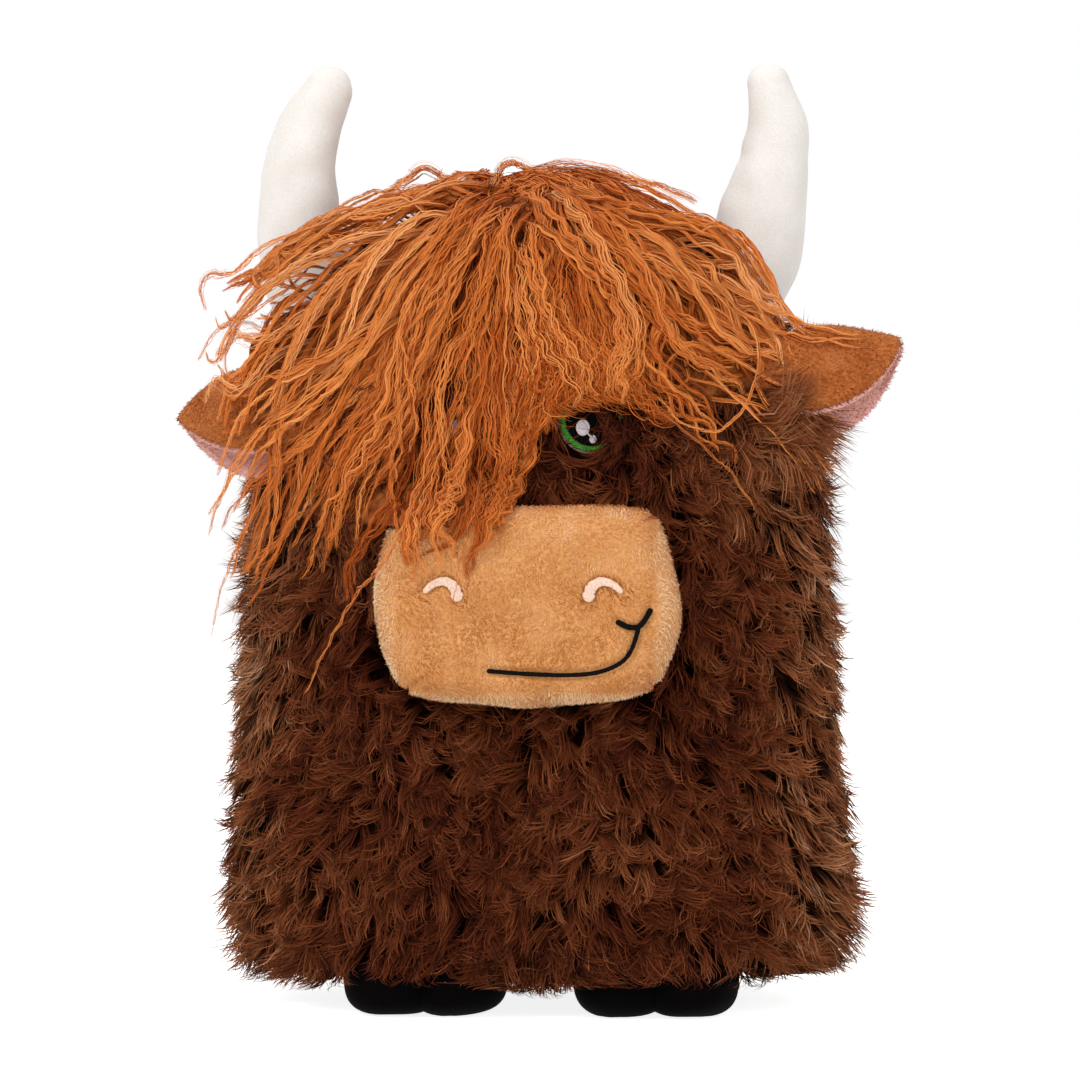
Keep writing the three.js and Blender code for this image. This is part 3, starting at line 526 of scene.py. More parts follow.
fur = {
    "width": 0.5, "lengths": (18, 27), "rise": (50, 84), "tipLean": (-10, 60), "hook": 100,
    "gather": (0.75, 1.0), "hem": 0.36, "lowest": 6.5, "overFeet": 4, "flare": (0.25, 0.7),
    "trimSide": 0.2, "trimCrown": 0.45, "bell": (0.4, 0.8), "strayShare": 0.1,
    # the side and upper hues paint light: the fur at the sides is lighter for the light that grazes it, and
    # a little lighter higher up
    "hue": 0.43, "sideLightHue": 0.27, "upperLightHue": 0.05,
    "bare": {  # no tuft grows within these shares and distances
        "front": -20, "muzzle": 0.93, "eyeShift": (2.5, 1.5), "eyeRadius": 10, "horn": 1,
        "faceHeight": 246, "faceSide": 84, "faceFront": -30,
        "crownMiddle": -4, "crownHalves": (44, 26), "crownHeight": 285,
    },
    "zones": {  # where a change starts and where it is whole, in mm
        "flare": (62, 26), "hem": (52, 20),  # up from the floor
        "rightSide": (85, 105), "rightHeight": (60, 130),
        "crown": (238, 266), "crownDepth": (44, 26),
        "bellSide": (78, 104), "bellHeight": (62, 30), "corner": (78, 100),  # out from the middle
        "foot": (36, 28), "footHeight": (34, 24),  # from a foot's middle, and up
        # where the painted light on the sides and on the upper fur starts and is whole
        "litSide": (62, 105), "litHeight": (110, 190),
    },
    # one row for each panel: turns in degrees from the front, levels by number, hue added to the fur's,
    # which paints shade on the front panel and light on the side panels
    "columns": ("node", "clumps", "fibres", "steps", "turns", "levels", "noise", "hue", "pieces"),
    "panels": {
        "front_fur": ("front_panel", 3200, 19, 7, (-45, 45), (1, 10), 52, -0.08, 4),
        "left_side_fur": ("left_side_panel", 1050, 14, 5, (225, 315), (1, 10), 40, 0.06, 1),
        "right_side_fur": ("right_side_panel", 1050, 14, 5, (45, 135), (1, 10), 40, 0.06, 1),
        "back_fur": ("back_panel", 1000, 15, 5, (135, 225), (1, 10), 50, 0.05, 1),
        "crown_fur": ("crown_panel", 420, 15, 5, (0, 360), (10, 14), 40, 0.0, 1),
        "base_fur": ("base_panel", 260, 17, 5, (0, 360), (0, 1), 50, -0.05, 1),
    },
    "extras": {  # tufts over the right ear's root, and dark ones that close over the eyes' outer half
        "seam_fur": {"clumps": 110, "fibres": 24, "steps": 5, "sides": ["right"], "across": (70, 90),
                     "up": (211, 237), "sunk": 8.5, "lengths": (34, 44), "way": (0.95, -0.15, -0.35),
                     "noise": 24, "hue": 0.0, "rides": ("right", 82, 100)},
        # the lid fur's low hue paints the shade that falls over the eyes' outer rim
        "lid_fur": {"clumps": 46, "fibres": 18, "steps": 5, "sides": ["left", "right"], "across": (31, 39),
                    "up": (211, 236), "sunk": 0.5, "lengths": (13, 18), "way": (-1, 0, -0.3), "noise": 22,
                    "hue": -0.22},
    },
}


# How far a place has come into one of the fur's zones, 0 to 1
def intoZone(values, name):
    return easeBetween(values, *fur["zones"][name])


# Multiples of these two numbers, less their whole part, spread evenly over a square
evenPair = (0.7548776662, 0.5698402910)


# Places on the skin spread evenly by area: the even pairs, warped by the area so far
def placesByArea(count, turnRange, placeRange, outset, skipped=0):
    places, turns = np.linspace(*placeRange, 90), np.linspace(*turnRange, 90)
    grid = skinPoint(places[:, None], turns[None], outset)
    up, across = np.diff(grid, axis=0)[:, :-1], np.diff(grid, axis=1)[:-1]
    area = np.linalg.norm(np.cross(up, across), axis=-1)
    number = np.arange(1, count + 1) + skipped
    pair = np.stack([number * evenPair[0], number * evenPair[1]]) % 1
    soFar = [addedUp(area.sum(axis)) for axis in (1, 0)]
    place = np.interp(pair[0], soFar[0] / soFar[0][-1], places)
    turn = np.interp(pair[1], soFar[1] / soFar[1][-1], turns)
    return place, turn


# True where a tuft may grow: not under the muzzle, eyes, horns, feet or the thick of the forelock
def growsAt(roots, normals):
    x, y, z = roots.T
    bare = fur["bare"]
    front = y < bare["front"]
    free = ~(front & (muzzleSize(x, z) < bare["muzzle"]))
    fromEye = x - np.sign(x) * eyes["spread"]
    shiftX, shiftZ = bare["eyeShift"]
    eyeGap = np.hypot(fromEye + shiftX, z - eyes["height"] + shiftZ) / bare["eyeRadius"]
    free &= ~(front & (eyeGap < 1))
    for side, sign in sides.items():
        axis, radius = hornAxis(side, np.linspace(0, 0.5, 12))  # the lower half of the horn
        near = np.linalg.norm(roots[:, None] - axis[None], axis=-1).min(1)
        free &= near > radius.max() + bare["horn"]
        overFoot = np.abs(x - sign * hoofs["spread"][side]) < hoofs["bareWidth"]
        overFoot &= np.abs(np.abs(y) - hoofs["setback"]) < hoofs["bareDepth"]
        free &= ~(overFoot & (normals[:, 2] < -0.5))
    face = (z > bare["faceHeight"]) & (np.abs(x) < bare["faceSide"]) & (y < bare["faceFront"])
    wide, deep = bare["crownHalves"]
    crown = np.hypot((x - bare["crownMiddle"]) / wide, y / deep) + (z < bare["crownHeight"]) < 1
    return free & ~(face | crown)


# Clumped fibres: a clump's way turns from the cloth's normal to the fall line as (1 - t)^1.6 and hooks
# sideways; fibre = root + length * run of that way + gather * t^1.2 * (clump's root - root)
def clumpedFibres(roots, normals, clumpRoots, noiseDegrees, lengths, seed, points=5, way=(0, 0, -1)):
    draw = np.random.default_rng(seed)
    clump = np.concatenate([
        np.argmin(((part[:, None] - clumpRoots[None]) ** 2).sum(-1), 1)
        for part in np.array_split(roots, max(1, len(roots) // 4000))])
    clumps, count = len(clumpRoots), len(roots)
    least, more = fur["flare"]
    down = np.array(way) + (least + more * intoZone(roots[:, 2:], "flare")) * unit(roots * [1, 1, 0])
    fall = unit(down - (down * normals).sum(-1, keepdims=True) * normals)
    across = np.cross(normals, fall)

    # a clump's own number, with a little more for each fibre
    def shared(perClump, spread):
        return perClump[clump] + draw.normal(0, spread, count)

    angle = 0.6 * waviness(clumpRoots, 46, 11) + draw.normal(0, 0.65, clumps)
    angle = shared(np.radians(noiseDegrees) * angle, 0.08)
    hook = np.sign(waviness(clumpRoots, 30, 12) + draw.normal(0, 0.5, clumps))
    hook = shared(np.radians(fur["hook"]) * (hook * draw.uniform(0.35, 1.35, clumps)), 0.14)
    rise = shared(np.radians(draw.uniform(*fur["rise"], clumps)), 0.06)
    tipLean = shared(np.radians(draw.uniform(*fur["tipLean"], clumps)), 0.12)
    length = draw.uniform(*lengths, clumps)[clump] * draw.uniform(0.66, 1.08, count)
    # the hem hangs over the feet; the right side and the top, where the locks lie over it, are trimmed
    side, deep, height = roots.T
    length = length * (1 + fur["hem"] * intoZone(height, "hem"))
    length = length * (1 - fur["trimSide"] * intoZone(side, "rightSide") * intoZone(height, "rightHeight"))
    length = length * (1 - fur["trimCrown"] * intoZone(height, "crown") * intoZone(deep, "crownDepth"))
    gather = draw.uniform(*fur["gather"], clumps)[clump] * draw.uniform(0.8, 1.06, count)
    # the lower corners bell out, the right one further
    bell = intoZone(np.abs(side), "bellSide") * intoZone(height, "bellHeight")
    bell = bell * np.where(side > 0, fur["bell"][1], fur["bell"][0])
    parts = 24
    t = (np.arange(parts) + 0.5) / parts
    lean = rise[:, None] * (1 - t) ** 1.6 + tipLean[:, None] * t ** 2.2
    lean = lean + bell[:, None] * np.sqrt(4 * t * (1 - t))
    turned = angle[:, None] + hook[:, None] * (t ** 1.9 + 0.3 * np.sin(2 * np.pi * t))
    flat = fall[:, None] * np.cos(turned)[..., None] + across[:, None] * np.sin(turned)[..., None]
    steps = flat * np.cos(lean)[..., None] + normals[:, None] * np.sin(lean)[..., None]
    line = np.concatenate([np.zeros((count, 1, 3)), np.cumsum(steps, 1)], 1)
    line = line * (length / parts)[:, None, None]
    picks = np.round(np.linspace(0, parts, points)).astype(int)
    share = np.linspace(0, 1, points)
    inward = clumpRoots[clump] - roots
    stray = draw.uniform(0, 1, count) < fur["strayShare"]
    gather = np.where(stray, -0.3, gather)  # a stray fibre leaves its clump
    paths = roots[:, None] + line[:, picks] + inward[:, None] * (gather[:, None] * share ** 1.2)[..., None]
    facing = unit(normals - 0.16 * inward)
    return paths, np.broadcast_to(facing[:, None], paths.shape), clump


# Keeps strands out of the open eye: a point nearer its middle line moves out to sqrt(r^2 + clear^2);
# less is cleared above and to the right, where the fur closes over the rim
def clearOfEyes(paths):
    for sign in sides.values():
        offset = paths - np.array([sign * eyes["spread"], 0, eyes["height"]])
        flat = np.hypot(offset[..., 0], offset[..., 2])
        near = (paths[..., 1] < eyes["clearFront"]) & (flat < eyes["clearFrom"][0])
        toLowerLeft = -(offset[..., 0] + offset[..., 2]) / np.maximum(flat, 0.5) / 1.414
        clear = eyes["clear"] + eyes["clearLowerLeft"] * toLowerLeft
        clear = clear * easeBetween(flat, *eyes["clearFrom"])
        wanted = np.sqrt(flat ** 2 + clear ** 2)
        scale = np.where(near, wanted / np.maximum(flat, 0.5), 1)
        paths[..., 0] = sign * eyes["spread"] + offset[..., 0] * scale
        paths[..., 2] = eyes["height"] + offset[..., 2] * scale
    return paths


# How far places have come over each side's feet, 0 to 1
def overFeet(across):
    return [intoZone(np.abs(across - sign * hoofs["spread"][side]), "foot") for side, sign in sides.items()]


# Keeps the hem in front of the feet: y = -(front of the foot + a little) where a strand passes one
def clearOfFeet(paths, draw):
    front = hoofs["setback"] + hoofs["depth"] / 2 + draw.uniform(1, 4, len(paths))[:, None]
    for over in overFeet(paths[..., 0]):
        over = over * intoZone(paths[..., 2], "footHeight")
        over = over * ((paths[..., 1] < hoofs["clearFront"]) & (paths[..., 1] > -front))
        paths[..., 1] = paths[..., 1] * (1 - over) - front * over
    return paths


# Curly polyester pile: soft, matt and reddish; painted shade from its shade ramp darkens it at the root, so
# it is lighter at the tips
brownFibre = fibreMaterial(
    "curly_polyester_pile",
    [(0.0, "#3e1910"), (0.3, "#6a321b"), (0.6, "#965633"), (0.85, "#b97950"), (1.0, "#d8a47c")],
    [(0.0, "#120c0a"), (0.35, "#5a4c45"), (0.7, "#d8cfc9"), (1.0, "#ffffff")], 0.75, 0.02)


# Makes one panel's fur from its roots, in as many pieces as it has
def settleFur(title, pieces, roots, normals, clumpRoots, panel, seed, lengths, way, nodes):
    draw = np.random.default_rng(seed)
    order = np.argsort(roots[:, 2])
    roots, normals = roots[order], normals[order]
    paths, facing, clump = clumpedFibres(roots, normals, clumpRoots, panel["noise"], lengths, seed + 100,
                                         panel["steps"], way)
    paths = clearOfFeet(clearOfEyes(paths), draw)
    # the hem's tips gather softly above the floor, higher over the feet and at the right corner
    low = fur["lowest"] + fur["overFeet"] * intoZone(paths[..., 0], "corner")
    for over in overFeet(paths[..., 0]):
        low = np.maximum(low, fur["lowest"] + fur["overFeet"] * over)
    height = paths[..., 2]
    paths[..., 2] = np.where(height < 2 * low, low + low * np.exp((height - 2 * low) / low), height)
    # a panel's hue darkens the front as painted shade and lightens the sides as painted light
    hue = fur["hue"] + panel["hue"] + 0.1 * waviness(roots, 60, 21)
    # painted light: the sides and the upper fur are made lighter as if lit
    hue = hue + fur["sideLightHue"] * intoZone(np.abs(roots[:, 0]), "litSide")
    hue = hue + fur["upperLightHue"] * intoZone(roots[:, 2], "litHeight")
    hue = hue + draw.normal(0, 0.085, len(clumpRoots))[clump] + draw.normal(0, 0.09, len(paths))
    hue = np.where(draw.uniform(0, 1, len(paths)) < 0.04, hue + 0.2, hue)
    width = fur["width"] * draw.uniform(0.7, 1.25, len(paths)) * (1.0 if panel["steps"] == 7 else 1.2)
    for part, chunk in enumerate(np.array_split(np.arange(len(roots)), pieces)):
        name = title if pieces == 1 else f"{title}_{part + 1}"
        piece = strandPiece(name, paths[chunk], facing[chunk], width[chunk], hue[chunk], brownFibre,
                            seed + 300 + part)
        settle(piece, panel.get("rides", "body"), "brown_fur", *(nodes if part == 0 else []))


# Every panel's fur, rooted in the skin, then the extra tufts, rooted on the face
def makeFur():
    inset = -body["paddingInset"]
    down = (0, 0, -1)
    for number, (name, row) in enumerate(fur["panels"].items()):
        panel = dict(zip(fur["columns"], row))
        turnRange = np.radians(panel["turns"])
        placeRange = levelPlaces[list(panel["levels"])]
        place, turn = placesByArea(panel["clumps"] * panel["fibres"], turnRange, placeRange, inset)
        clumpRoots = skinPoint(*placesByArea(panel["clumps"], turnRange, placeRange, inset, 7000), inset)
        roots, normals = skinPoint(place, turn, inset), skinNormal(place, turn, inset)
        keep = growsAt(roots, normals)
        settleFur(name, panel["pieces"], roots[keep], normals[keep], clumpRoots, panel, 100 + 10 * number,
                  fur["lengths"], down, [panel["node"]])
    draw = np.random.default_rng(190)
    for number, (name, extra) in enumerate(fur["extras"].items()):
        for side in extra["sides"]:
            sign = sides[side]
            x = sign * draw.uniform(*extra["across"], extra["clumps"])
            z = draw.uniform(*extra["up"], extra["clumps"])
            x, z = np.repeat(x, extra["fibres"]), np.repeat(z, extra["fibres"])
            x, z = x + draw.normal(0, 1.8, len(x)), z + draw.normal(0, 1.8, len(z))
            roots = np.stack([x, -faceDepth(x, z, -extra["sunk"]), z], -1)
            forward = np.broadcast_to([0, -1.0, 0.0], roots.shape)
            settleFur(f"{side}_{name}", 1, roots, forward, roots[::extra["fibres"]], extra,
                      191 + sign + 3 * number, extra["lengths"], np.array(extra["way"]) * [sign, 1, 1], [])


makeFur()
print("brown fur made")


# Forelock: wavy locks that fan out from a parting, over the crown and down the face

forelock = {
    "steps": 40, "bundles": 150, "locksPerBundle": 3, "width": 0.48, "radius": (1.0, 2.9),
    "waveLength": (10, 18), "waveHeight": (1.0, 2.5), "lifts": (2.0, 13.5), "startScatter": (7.5, 2.5),
    "fringeLine": 13.2, "overEye": (11.7, 14.6), "partLines": [5.3, 6.3, 12.7],  # by number of flow line
    "curtain": {"locks": 72, "lines": (11.8, 14.4), "start": (0.3, 0.7), "end": (0.945, 0.97),
                "radius": 2.2, "strands": 10, "width": 0.42, "hue": (0.36, 0.13), "seeds": (63, 64)},
    "back": {"locks": 92, "start": (0.0, 0.16), "end": (0.26, 0.5), "radius": 2.4,
             "strands": 8, "width": 0.56, "hue": (0.42, 0.12), "seeds": (58, 61)},
    "crown": {"locks": 140, "top": (-1, 1, 313), "scatter": (9, 5, 1.2), "reach": (58, 46), "drop": 26,
              "inside": (-4, 0, 240), "radius": 2.1,
              "strands": 14, "width": 0.46, "hue": (0.5, 0.12), "seeds": (65, 66)},
    "single": {"width": 0.34, "hue": (0.62, 0.12), "crownHeight": 295, "lifts": (5.0, 12.0)},
    "cap": {"lines": (1.2, 2.1), "rows": 44, "columns": 80, "rough": 1.2, "thick": 6},
    "pushes": [  # forward over the ears and the fringe: mm, then x and half width, z and half height
        (12, 102, 22, 243, 18), (13, -101, 18, 228, 28), (6, 18, 24, 231, 13),
    ],
    "strands": {"strands": 14, "twist": 1.6, "strayShare": 0.26, "strayReach": 3.0, "frizz": 0.38,
                "flatness": 0.7},
    "flow": [  # lines of flow from the parting to the hem, x and z in mm as seen from the front
        [(-14.1, 314.2), (-35.1, 306.8), (-64.3, 294.7), (-84.5, 285.6), (-100.6, 273.3), (-115.3, 267.7)],
        [(-13.7, 313.2), (-41.3, 294.9), (-70.7, 277.7), (-92.6, 262.1), (-108.4, 251.7), (-116.8, 239.9)],
        [(-13.5, 312.2), (-37.3, 291.1), (-66.5, 269), (-91.4, 247.2), (-105.2, 227.7), (-114.7, 215.1)],
        [(-13.3, 311.3), (-33.2, 285.3), (-58.6, 259.7), (-83, 230.5), (-99.8, 206.6), (-113.5, 184.5)],
        [(-12.3, 310.3), (-29.3, 279.7), (-50.2, 248.6), (-71.2, 215.8), (-88.4, 186.4), (-106, 153.1)],
        [(-11.7, 309.4), (-26.3, 276), (-42.7, 243), (-59.8, 210.3), (-75.9, 182.9), (-93.3, 152.6)],
        [(-10.9, 308.5), (-22.9, 272.3), (-34.1, 237.5), (-46.7, 206.6), (-60.8, 181.1), (-76.5, 157.3)],
        [(-10.5, 308.5), (-18.8, 270.4), (-26.8, 235.7), (-34.9, 203), (-42.2, 181.2), (-50.3, 161.1)],
        [(-9.7, 308.5), (-15.1, 268.6), (-20.5, 232), (-25.4, 201.2), (-31.9, 181.2), (-37.8, 171.4)],
        [(-9, 308.5), (-11.4, 268.6), (-13.9, 232), (-15.9, 201.2), (-18.8, 179.4), (-22.3, 156.9)],
        [(-8.4, 309.3), (-7.8, 268.6), (-7.4, 233.9), (-7.2, 208.4), (-10.1, 186.7), (-13.6, 170.3)],
        [(-7.4, 310.3), (-3.2, 274.1), (-1.7, 244.8), (-0.7, 219.3), (-2.1, 201.2), (-5.7, 188.5)],
        [(-6.2, 311.2), (2.2, 281.5), (6.2, 259.4), (7.1, 242.9), (5.4, 229.5), (1.8, 216.4)],
        [(-4.9, 312.1), (9.1, 283.3), (17.8, 263), (23.1, 246.6), (26, 233.8), (26.8, 224.4)],
        [(-3.8, 312.6), (13.1, 284), (24.7, 263), (32.1, 244.7), (36.2, 232), (38.4, 224)],
        [(-3.2, 313.1), (17.1, 285.1), (31.3, 263), (40.8, 242.9), (48.9, 221.1), (70.3, 199.3)],
        [(-1.5, 314), (24.3, 287), (44, 263), (55.3, 241.1), (65.1, 224.8), (79.6, 212.1)],
        [(0.3, 314), (31.1, 290.8), (55.5, 270.4), (74.1, 248.6), (91.1, 235.5), (108, 223.8)],
        [(1.4, 314.8), (37.9, 295.8), (64.8, 279.8), (80.9, 264.8), (94.7, 248.8), (113.1, 247)],
        [(2.1, 316), (39.3, 304.5), (61.6, 293.1), (79.7, 275.3), (92.9, 259.5), (112.3, 252.1)],
    ],
    "specials": [  # single locks told the same way: strands, radius and points
        (26, 2.4, [(-23.7, 306.2), (-32.7, 308.4), (-43.2, 315), (-51.1, 309.5), (-56.2, 302.9),
                   (-62.5, 295.8), (-66.8, 289)]),
        (18, 1.9, [(-28.6, 300.6), (-43.1, 306.2), (-53.3, 302.8), (-59.4, 296.9), (-63.9, 291.2)]),
        (12, 1.2, [(-69.4, 287.9), (-93.3, 280), (-105, 270.7), (-113.9, 270), (-117.2, 264.8),
                   (-114.4, 257.3)]),
        (8, 0.9, [(-85.9, 263.8), (-100.3, 254.7), (-109.1, 251), (-116.8, 239.9)]),
        (30, 2.6, [(-6.4, 312.1), (7.3, 315.3), (22.5, 313.6), (38.6, 308.7), (49.2, 305.4),
                   (60.3, 299.9)]),
        (26, 2.4, [(-16.5, 305.6), (-15.5, 313.6), (-10.9, 316.8), (-3.9, 314), (7.3, 314.3),
                   (26.4, 311.3)]),
        (22, 2.2, [(-2, 311), (14, 313), (30, 310), (46, 303), (60, 294), (71, 284)]),
        (10, 0.9, [(62, 266.1), (77, 248.6), (76.3, 230.7), (68.4, 217.9), (60.5, 215.3), (51.1, 219.3),
                   (44.2, 228)]),
        (7, 0.8, [(-33.5, 201.2), (-39.3, 183), (-48.4, 166.6), (-56.9, 157.5), (-68.9, 137.3),
                  (-77.2, 118.9)]),
        (6, 0.8, [(-15.9, 201.2), (-18, 179.4), (-21.6, 163.1), (-23.8, 143.1)]),
        (7, 0.9, [(62.2, 226.6), (80.3, 223.7), (94.8, 212.1), (104, 198.2)]),
        (7, 0.9, [(78.4, 252.3), (94.7, 245.9), (112.3, 247.3), (123.3, 244.4)]),
        (12, 1.8, [(66, 266), (82, 257), (98, 251), (114, 248)]),
        (12, 2.0, [(70, 258), (85, 250), (101, 247), (118, 243)]),
        (9, 1.4, [(60, 236), (74, 224), (87, 210), (98, 192)]),
        (7, 0.9, [(57.5, 246.6), (78.1, 235.4), (97.3, 224.2), (106.4, 219.9)]),
        (6, 0.8, [(35.1, 230.6), (59.1, 209.5), (70.8, 197.2), (76.8, 186.2)]),
        (6, 0.8, [(76.7, 232.7), (91.2, 209.5), (100.7, 193.3)]),
        (5, 0.7, [(54.3, 234), (72, 227.4), (94.1, 209.5), (108.7, 200)]),
        (7, 0.9, [(-86.9, 222.6), (-103.7, 199.2), (-112.9, 184.2)]),
        (6, 0.8, [(-84.5, 205.1), (-99.7, 179), (-108.3, 156.8), (-112, 138.4)]),
    ],
}


# Where the locks lie: y from the grown body's skin, eased forward over the muzzle, then lifted along
# the way out from a point inside the head; those in front are pushed forward over ears and fringe
def onHead(x, z, lift, back=False):
    outset = 3.0
    depth = faceDepth(x, z, outset, most=0.85)
    top = body["clearance"] + body["height"] + outset
    over = 1 - easeBetween(muzzleSize(x, z), 0.82, 1.32)
    depth = np.maximum(depth, 0) + over * (muzzle["reach"] + 1 - outset)
    place = np.stack([x, depth if back else -depth, np.minimum(z, top + 40)], -1)
    inside = np.stack([0.35 * x, np.zeros_like(x), np.minimum(z, 225)], -1)
    outward = unit(place - inside)
    push = sum(far * np.exp(-(((x - atX) / wide) ** 2 + ((z - atZ) / tall) ** 2))
               for far, atX, wide, atZ, tall in forelock["pushes"])
    forward = np.array([0, -1.0, 0]) * (0 if back else push[..., None])
    return place + outward * (lift[..., None] - 4) + forward, outward


# Flow lines made smooth along their length and blended between neighbours, drawn on past their ends
def alongFlow(line, share):
    parts, more = 60, 15
    table = curveThrough(np.array(forelock["flow"]).transpose(1, 0, 2), np.linspace(0, 1, parts + 1))
    past = table[-1] + (table[-1] - table[-4]) / 3 * np.arange(1, more + 1)[:, None, None]
    table = np.concatenate([table, past])
    line = np.clip(line, 0, table.shape[1] - 1.001)
    place = np.clip(share * parts, 0, parts + more - 0.001)
    row, column = place.astype(int), line.astype(int)
    a, b = (place - row)[..., None], (line - column)[..., None]
    return ((table[row, column] * (1 - a) + table[row + 1, column] * a) * (1 - b)
            + (table[row, column + 1] * (1 - a) + table[row + 1, column + 1] * a) * b)


# Dyed wool-like fibre: silky and wavy, its hues from deep rust to gold; the lower locks take the rust as
# painted shade in the hollows and the higher ones the gold as a painted highlight on their backs
gingerFibre = fibreMaterial(
    "silky_dyed_locks",
    [(0.0, "#7a2a0a"), (0.25, "#b3531d"), (0.5, "#dc7a35"), (0.75, "#f49e55"), (1.0, "#ffcf99")],
    [(0.0, "#c8b8ac"), (0.15, "#f0e8e2"), (1.0, "#ffffff")], 0.6, 0.04)


# Waves of a lock: centre + across * A sin(angle) + outward * 0.55 A cos(angle + 0.5), where
# angle = 2 pi s / wavelength + phase, which drifts slowly so that the waves don't keep step
def wavyCentres(flat, lift, amplitude, wavelength, phase, back=False):
    centres, outward = onHead(flat[..., 0], flat[..., 1], lift, back)
    gap = np.linalg.norm(np.diff(centres, axis=1), axis=2)
    run = np.concatenate([np.zeros((len(gap), 1)), np.cumsum(gap, 1)], 1)
    tangent = unit(np.gradient(centres, axis=1))
    across = unit(np.cross(tangent, outward))
    phase = phase[:, None]
    slow = 0.9 * np.sin(run / (21 + 7 * np.sin(3 * phase)) + phase * 1.7)
    angle = 2 * np.pi * run / wavelength[:, None] + phase + slow
    share = np.linspace(0, 1, flat.shape[1])
    size = amplitude[:, None] * (0.45 + 0.55 * share) * (0.75 + 0.25 * np.sin(run / 19 + phase))
    centres = centres + across * (size * np.sin(angle))[..., None]
    centres = centres + outward * (0.55 * size * np.cos(angle + 0.5))[..., None]
    return centres, outward


# One ginger piece of strands, of one width and of a hue that varies
def gingerPiece(title, paths, outward, kind, draw, seed):
    return strandPiece(title, paths, outward, np.full(len(paths), kind["width"]),
                       draw.normal(*kind["hue"], len(paths)), gingerFibre, seed)


# Locks made into one piece that rides on the body
def settleLocks(title, centres, outward, radii, kind, draw):
    wanted = {**forelock["strands"], "strands": kind["strands"]}
    paths, outward, _ = strandsOfLocks(centres, outward, radii, wanted, kind["seeds"][0])
    settle(gingerPiece(title, paths, outward, kind, draw, kind["seeds"][1]), "body", "ginger_fur")


# Bundles of locks wave together, as hair does that was plaited wet: a lock has its bundle's numbers and
# a little of its own
def makeFrontLocks(draw, share, lines):
    bundles = forelock["bundles"]
    middles = alongFlow(np.arange(lines), np.full(lines, 0.62))
    gaps = np.linalg.norm(np.diff(middles, axis=0), axis=1)
    soFar = addedUp(gaps) / gaps.sum()
    bundle = np.repeat(np.arange(bundles), forelock["locksPerBundle"])
    count = len(bundle)

    # a bundle's own number, with a little more for each lock
    def shared(values, spread):
        return values[bundle] + draw.normal(0, spread, count)

    even = (np.arange(bundles) * 0.6180339887) % 1
    mainLine = np.interp(even, soFar, np.arange(lines))
    start = draw.uniform(0, 1, bundles) ** 1.15 * 0.52
    fringe = np.exp(-((mainLine - forelock["fringeLine"]) / 1.2) ** 2)  # here the ends are nearly level
    end = np.minimum(start + draw.uniform(0.42, 0.72, bundles) + 0.25 * fringe,
                     draw.uniform(0.86, 1.1, bundles) + 0.18 * fringe * draw.uniform(0.5, 1, bundles))
    drift = draw.normal(0, 0.8, (bundles, 1)) * share
    drift = drift + 0.3 * np.sin(share * 6 + draw.uniform(0, 6, (bundles, 1)))
    drift = drift * (1 - 0.75 * fringe[:, None])
    line = shared(mainLine, 0.17)
    start = np.clip(shared(start, 0.05), 0, 0.6)
    end = np.maximum(shared(end, 0.05), start + 0.25)
    first, last = forelock["overEye"]
    overEye = (line > first) & (line < last)
    end = np.where(overEye, np.minimum(end, draw.uniform(0.86, 0.955, count)), end)
    layer = np.clip(shared(draw.uniform(0, 1, bundles), 0.12), 0, 1)
    flat = alongFlow(line[:, None] + drift[bundle], start[:, None] + (end - start)[:, None] * share)
    scatter = np.clip(draw.normal(size=(bundles, 1, 2)), -1.2, 1.2)[bundle]
    scatter = scatter + 0.4 * np.clip(draw.normal(size=(count, 1, 2)), -1.5, 1.5)
    flat = flat + scatter * forelock["startScatter"] * ((1 - share) ** 2)[:, None]
    low, high = forelock["lifts"]
    lift = low + (high - low) * layer[:, None] * easeBetween(share, 0, 0.25) * (1 - 0.45 * share ** 2)
    lift = lift - 5 * easeBetween(share, 0.1, 0)  # the roots dip into the pile
    left = np.clip((8 - line) / 6, 0, 1)  # the outer locks are straighter, finer and paler
    right = np.clip((line - 14.5) / 3, 0, 1)
    amplitude = shared(draw.uniform(*forelock["waveHeight"], bundles), 0.2)
    amplitude = amplitude * (1 - 0.4 * left - 0.45 * right)
    wavelength = draw.uniform(*forelock["waveLength"], bundles)[bundle] * (1 + 0.35 * left)
    amplitude = np.minimum(amplitude, 0.15 * wavelength)
    phase = shared(draw.uniform(0, 2 * np.pi, bundles), 0.35)
    centres, outward = wavyCentres(flat, lift, amplitude, wavelength, phase)
    radius = draw.uniform(*forelock["radius"], bundles)[bundle] * draw.uniform(0.7, 1.2, count)
    radius = radius * (1 - 0.28 * left - 0.2 * right)
    radii = radius[:, None] * (0.45 + 0.55 * easeBetween(share, 0, 0.15)) * (1 - 0.82 * share ** 2.2)
    paths, outward, fineness = strandsOfLocks(centres, outward, radii, forelock["strands"], 53)
    perLock = forelock["strands"]["strands"]
    # a lock's layer lifts its hue: a painted highlight on the higher locks, painted shade on the lower ones
    hue = 0.27 + 0.3 * layer + draw.normal(0, 0.08, bundles)[bundle] + 0.22 * left + 0.18 * right
    hue = np.repeat(hue + draw.normal(0, 0.06, count), perLock) + draw.normal(0, 0.06, len(paths))
    hue = np.minimum(hue, 0.72 + 0.12 * np.repeat(np.maximum(left, right), perLock))
    width = forelock["width"] * draw.uniform(0.65, 1.2, len(paths)) * fineness
    part = np.digitize(line, forelock["partLines"])
    for index, side in enumerate(("over_left_ear", "left", "middle", "right")):
        pick = (np.flatnonzero(part == index)[:, None] * perLock + np.arange(perLock)).ravel()
        piece = strandPiece(f"forelock_{side}", paths[pick], outward[pick], width[pick], hue[pick],
                            gingerFibre, 54 + index)
        settle(piece, ("left", 80, 96) if side == "over_left_ear" else "body", "ginger_fur",
               *(["forelock"] if side == "middle" else []))


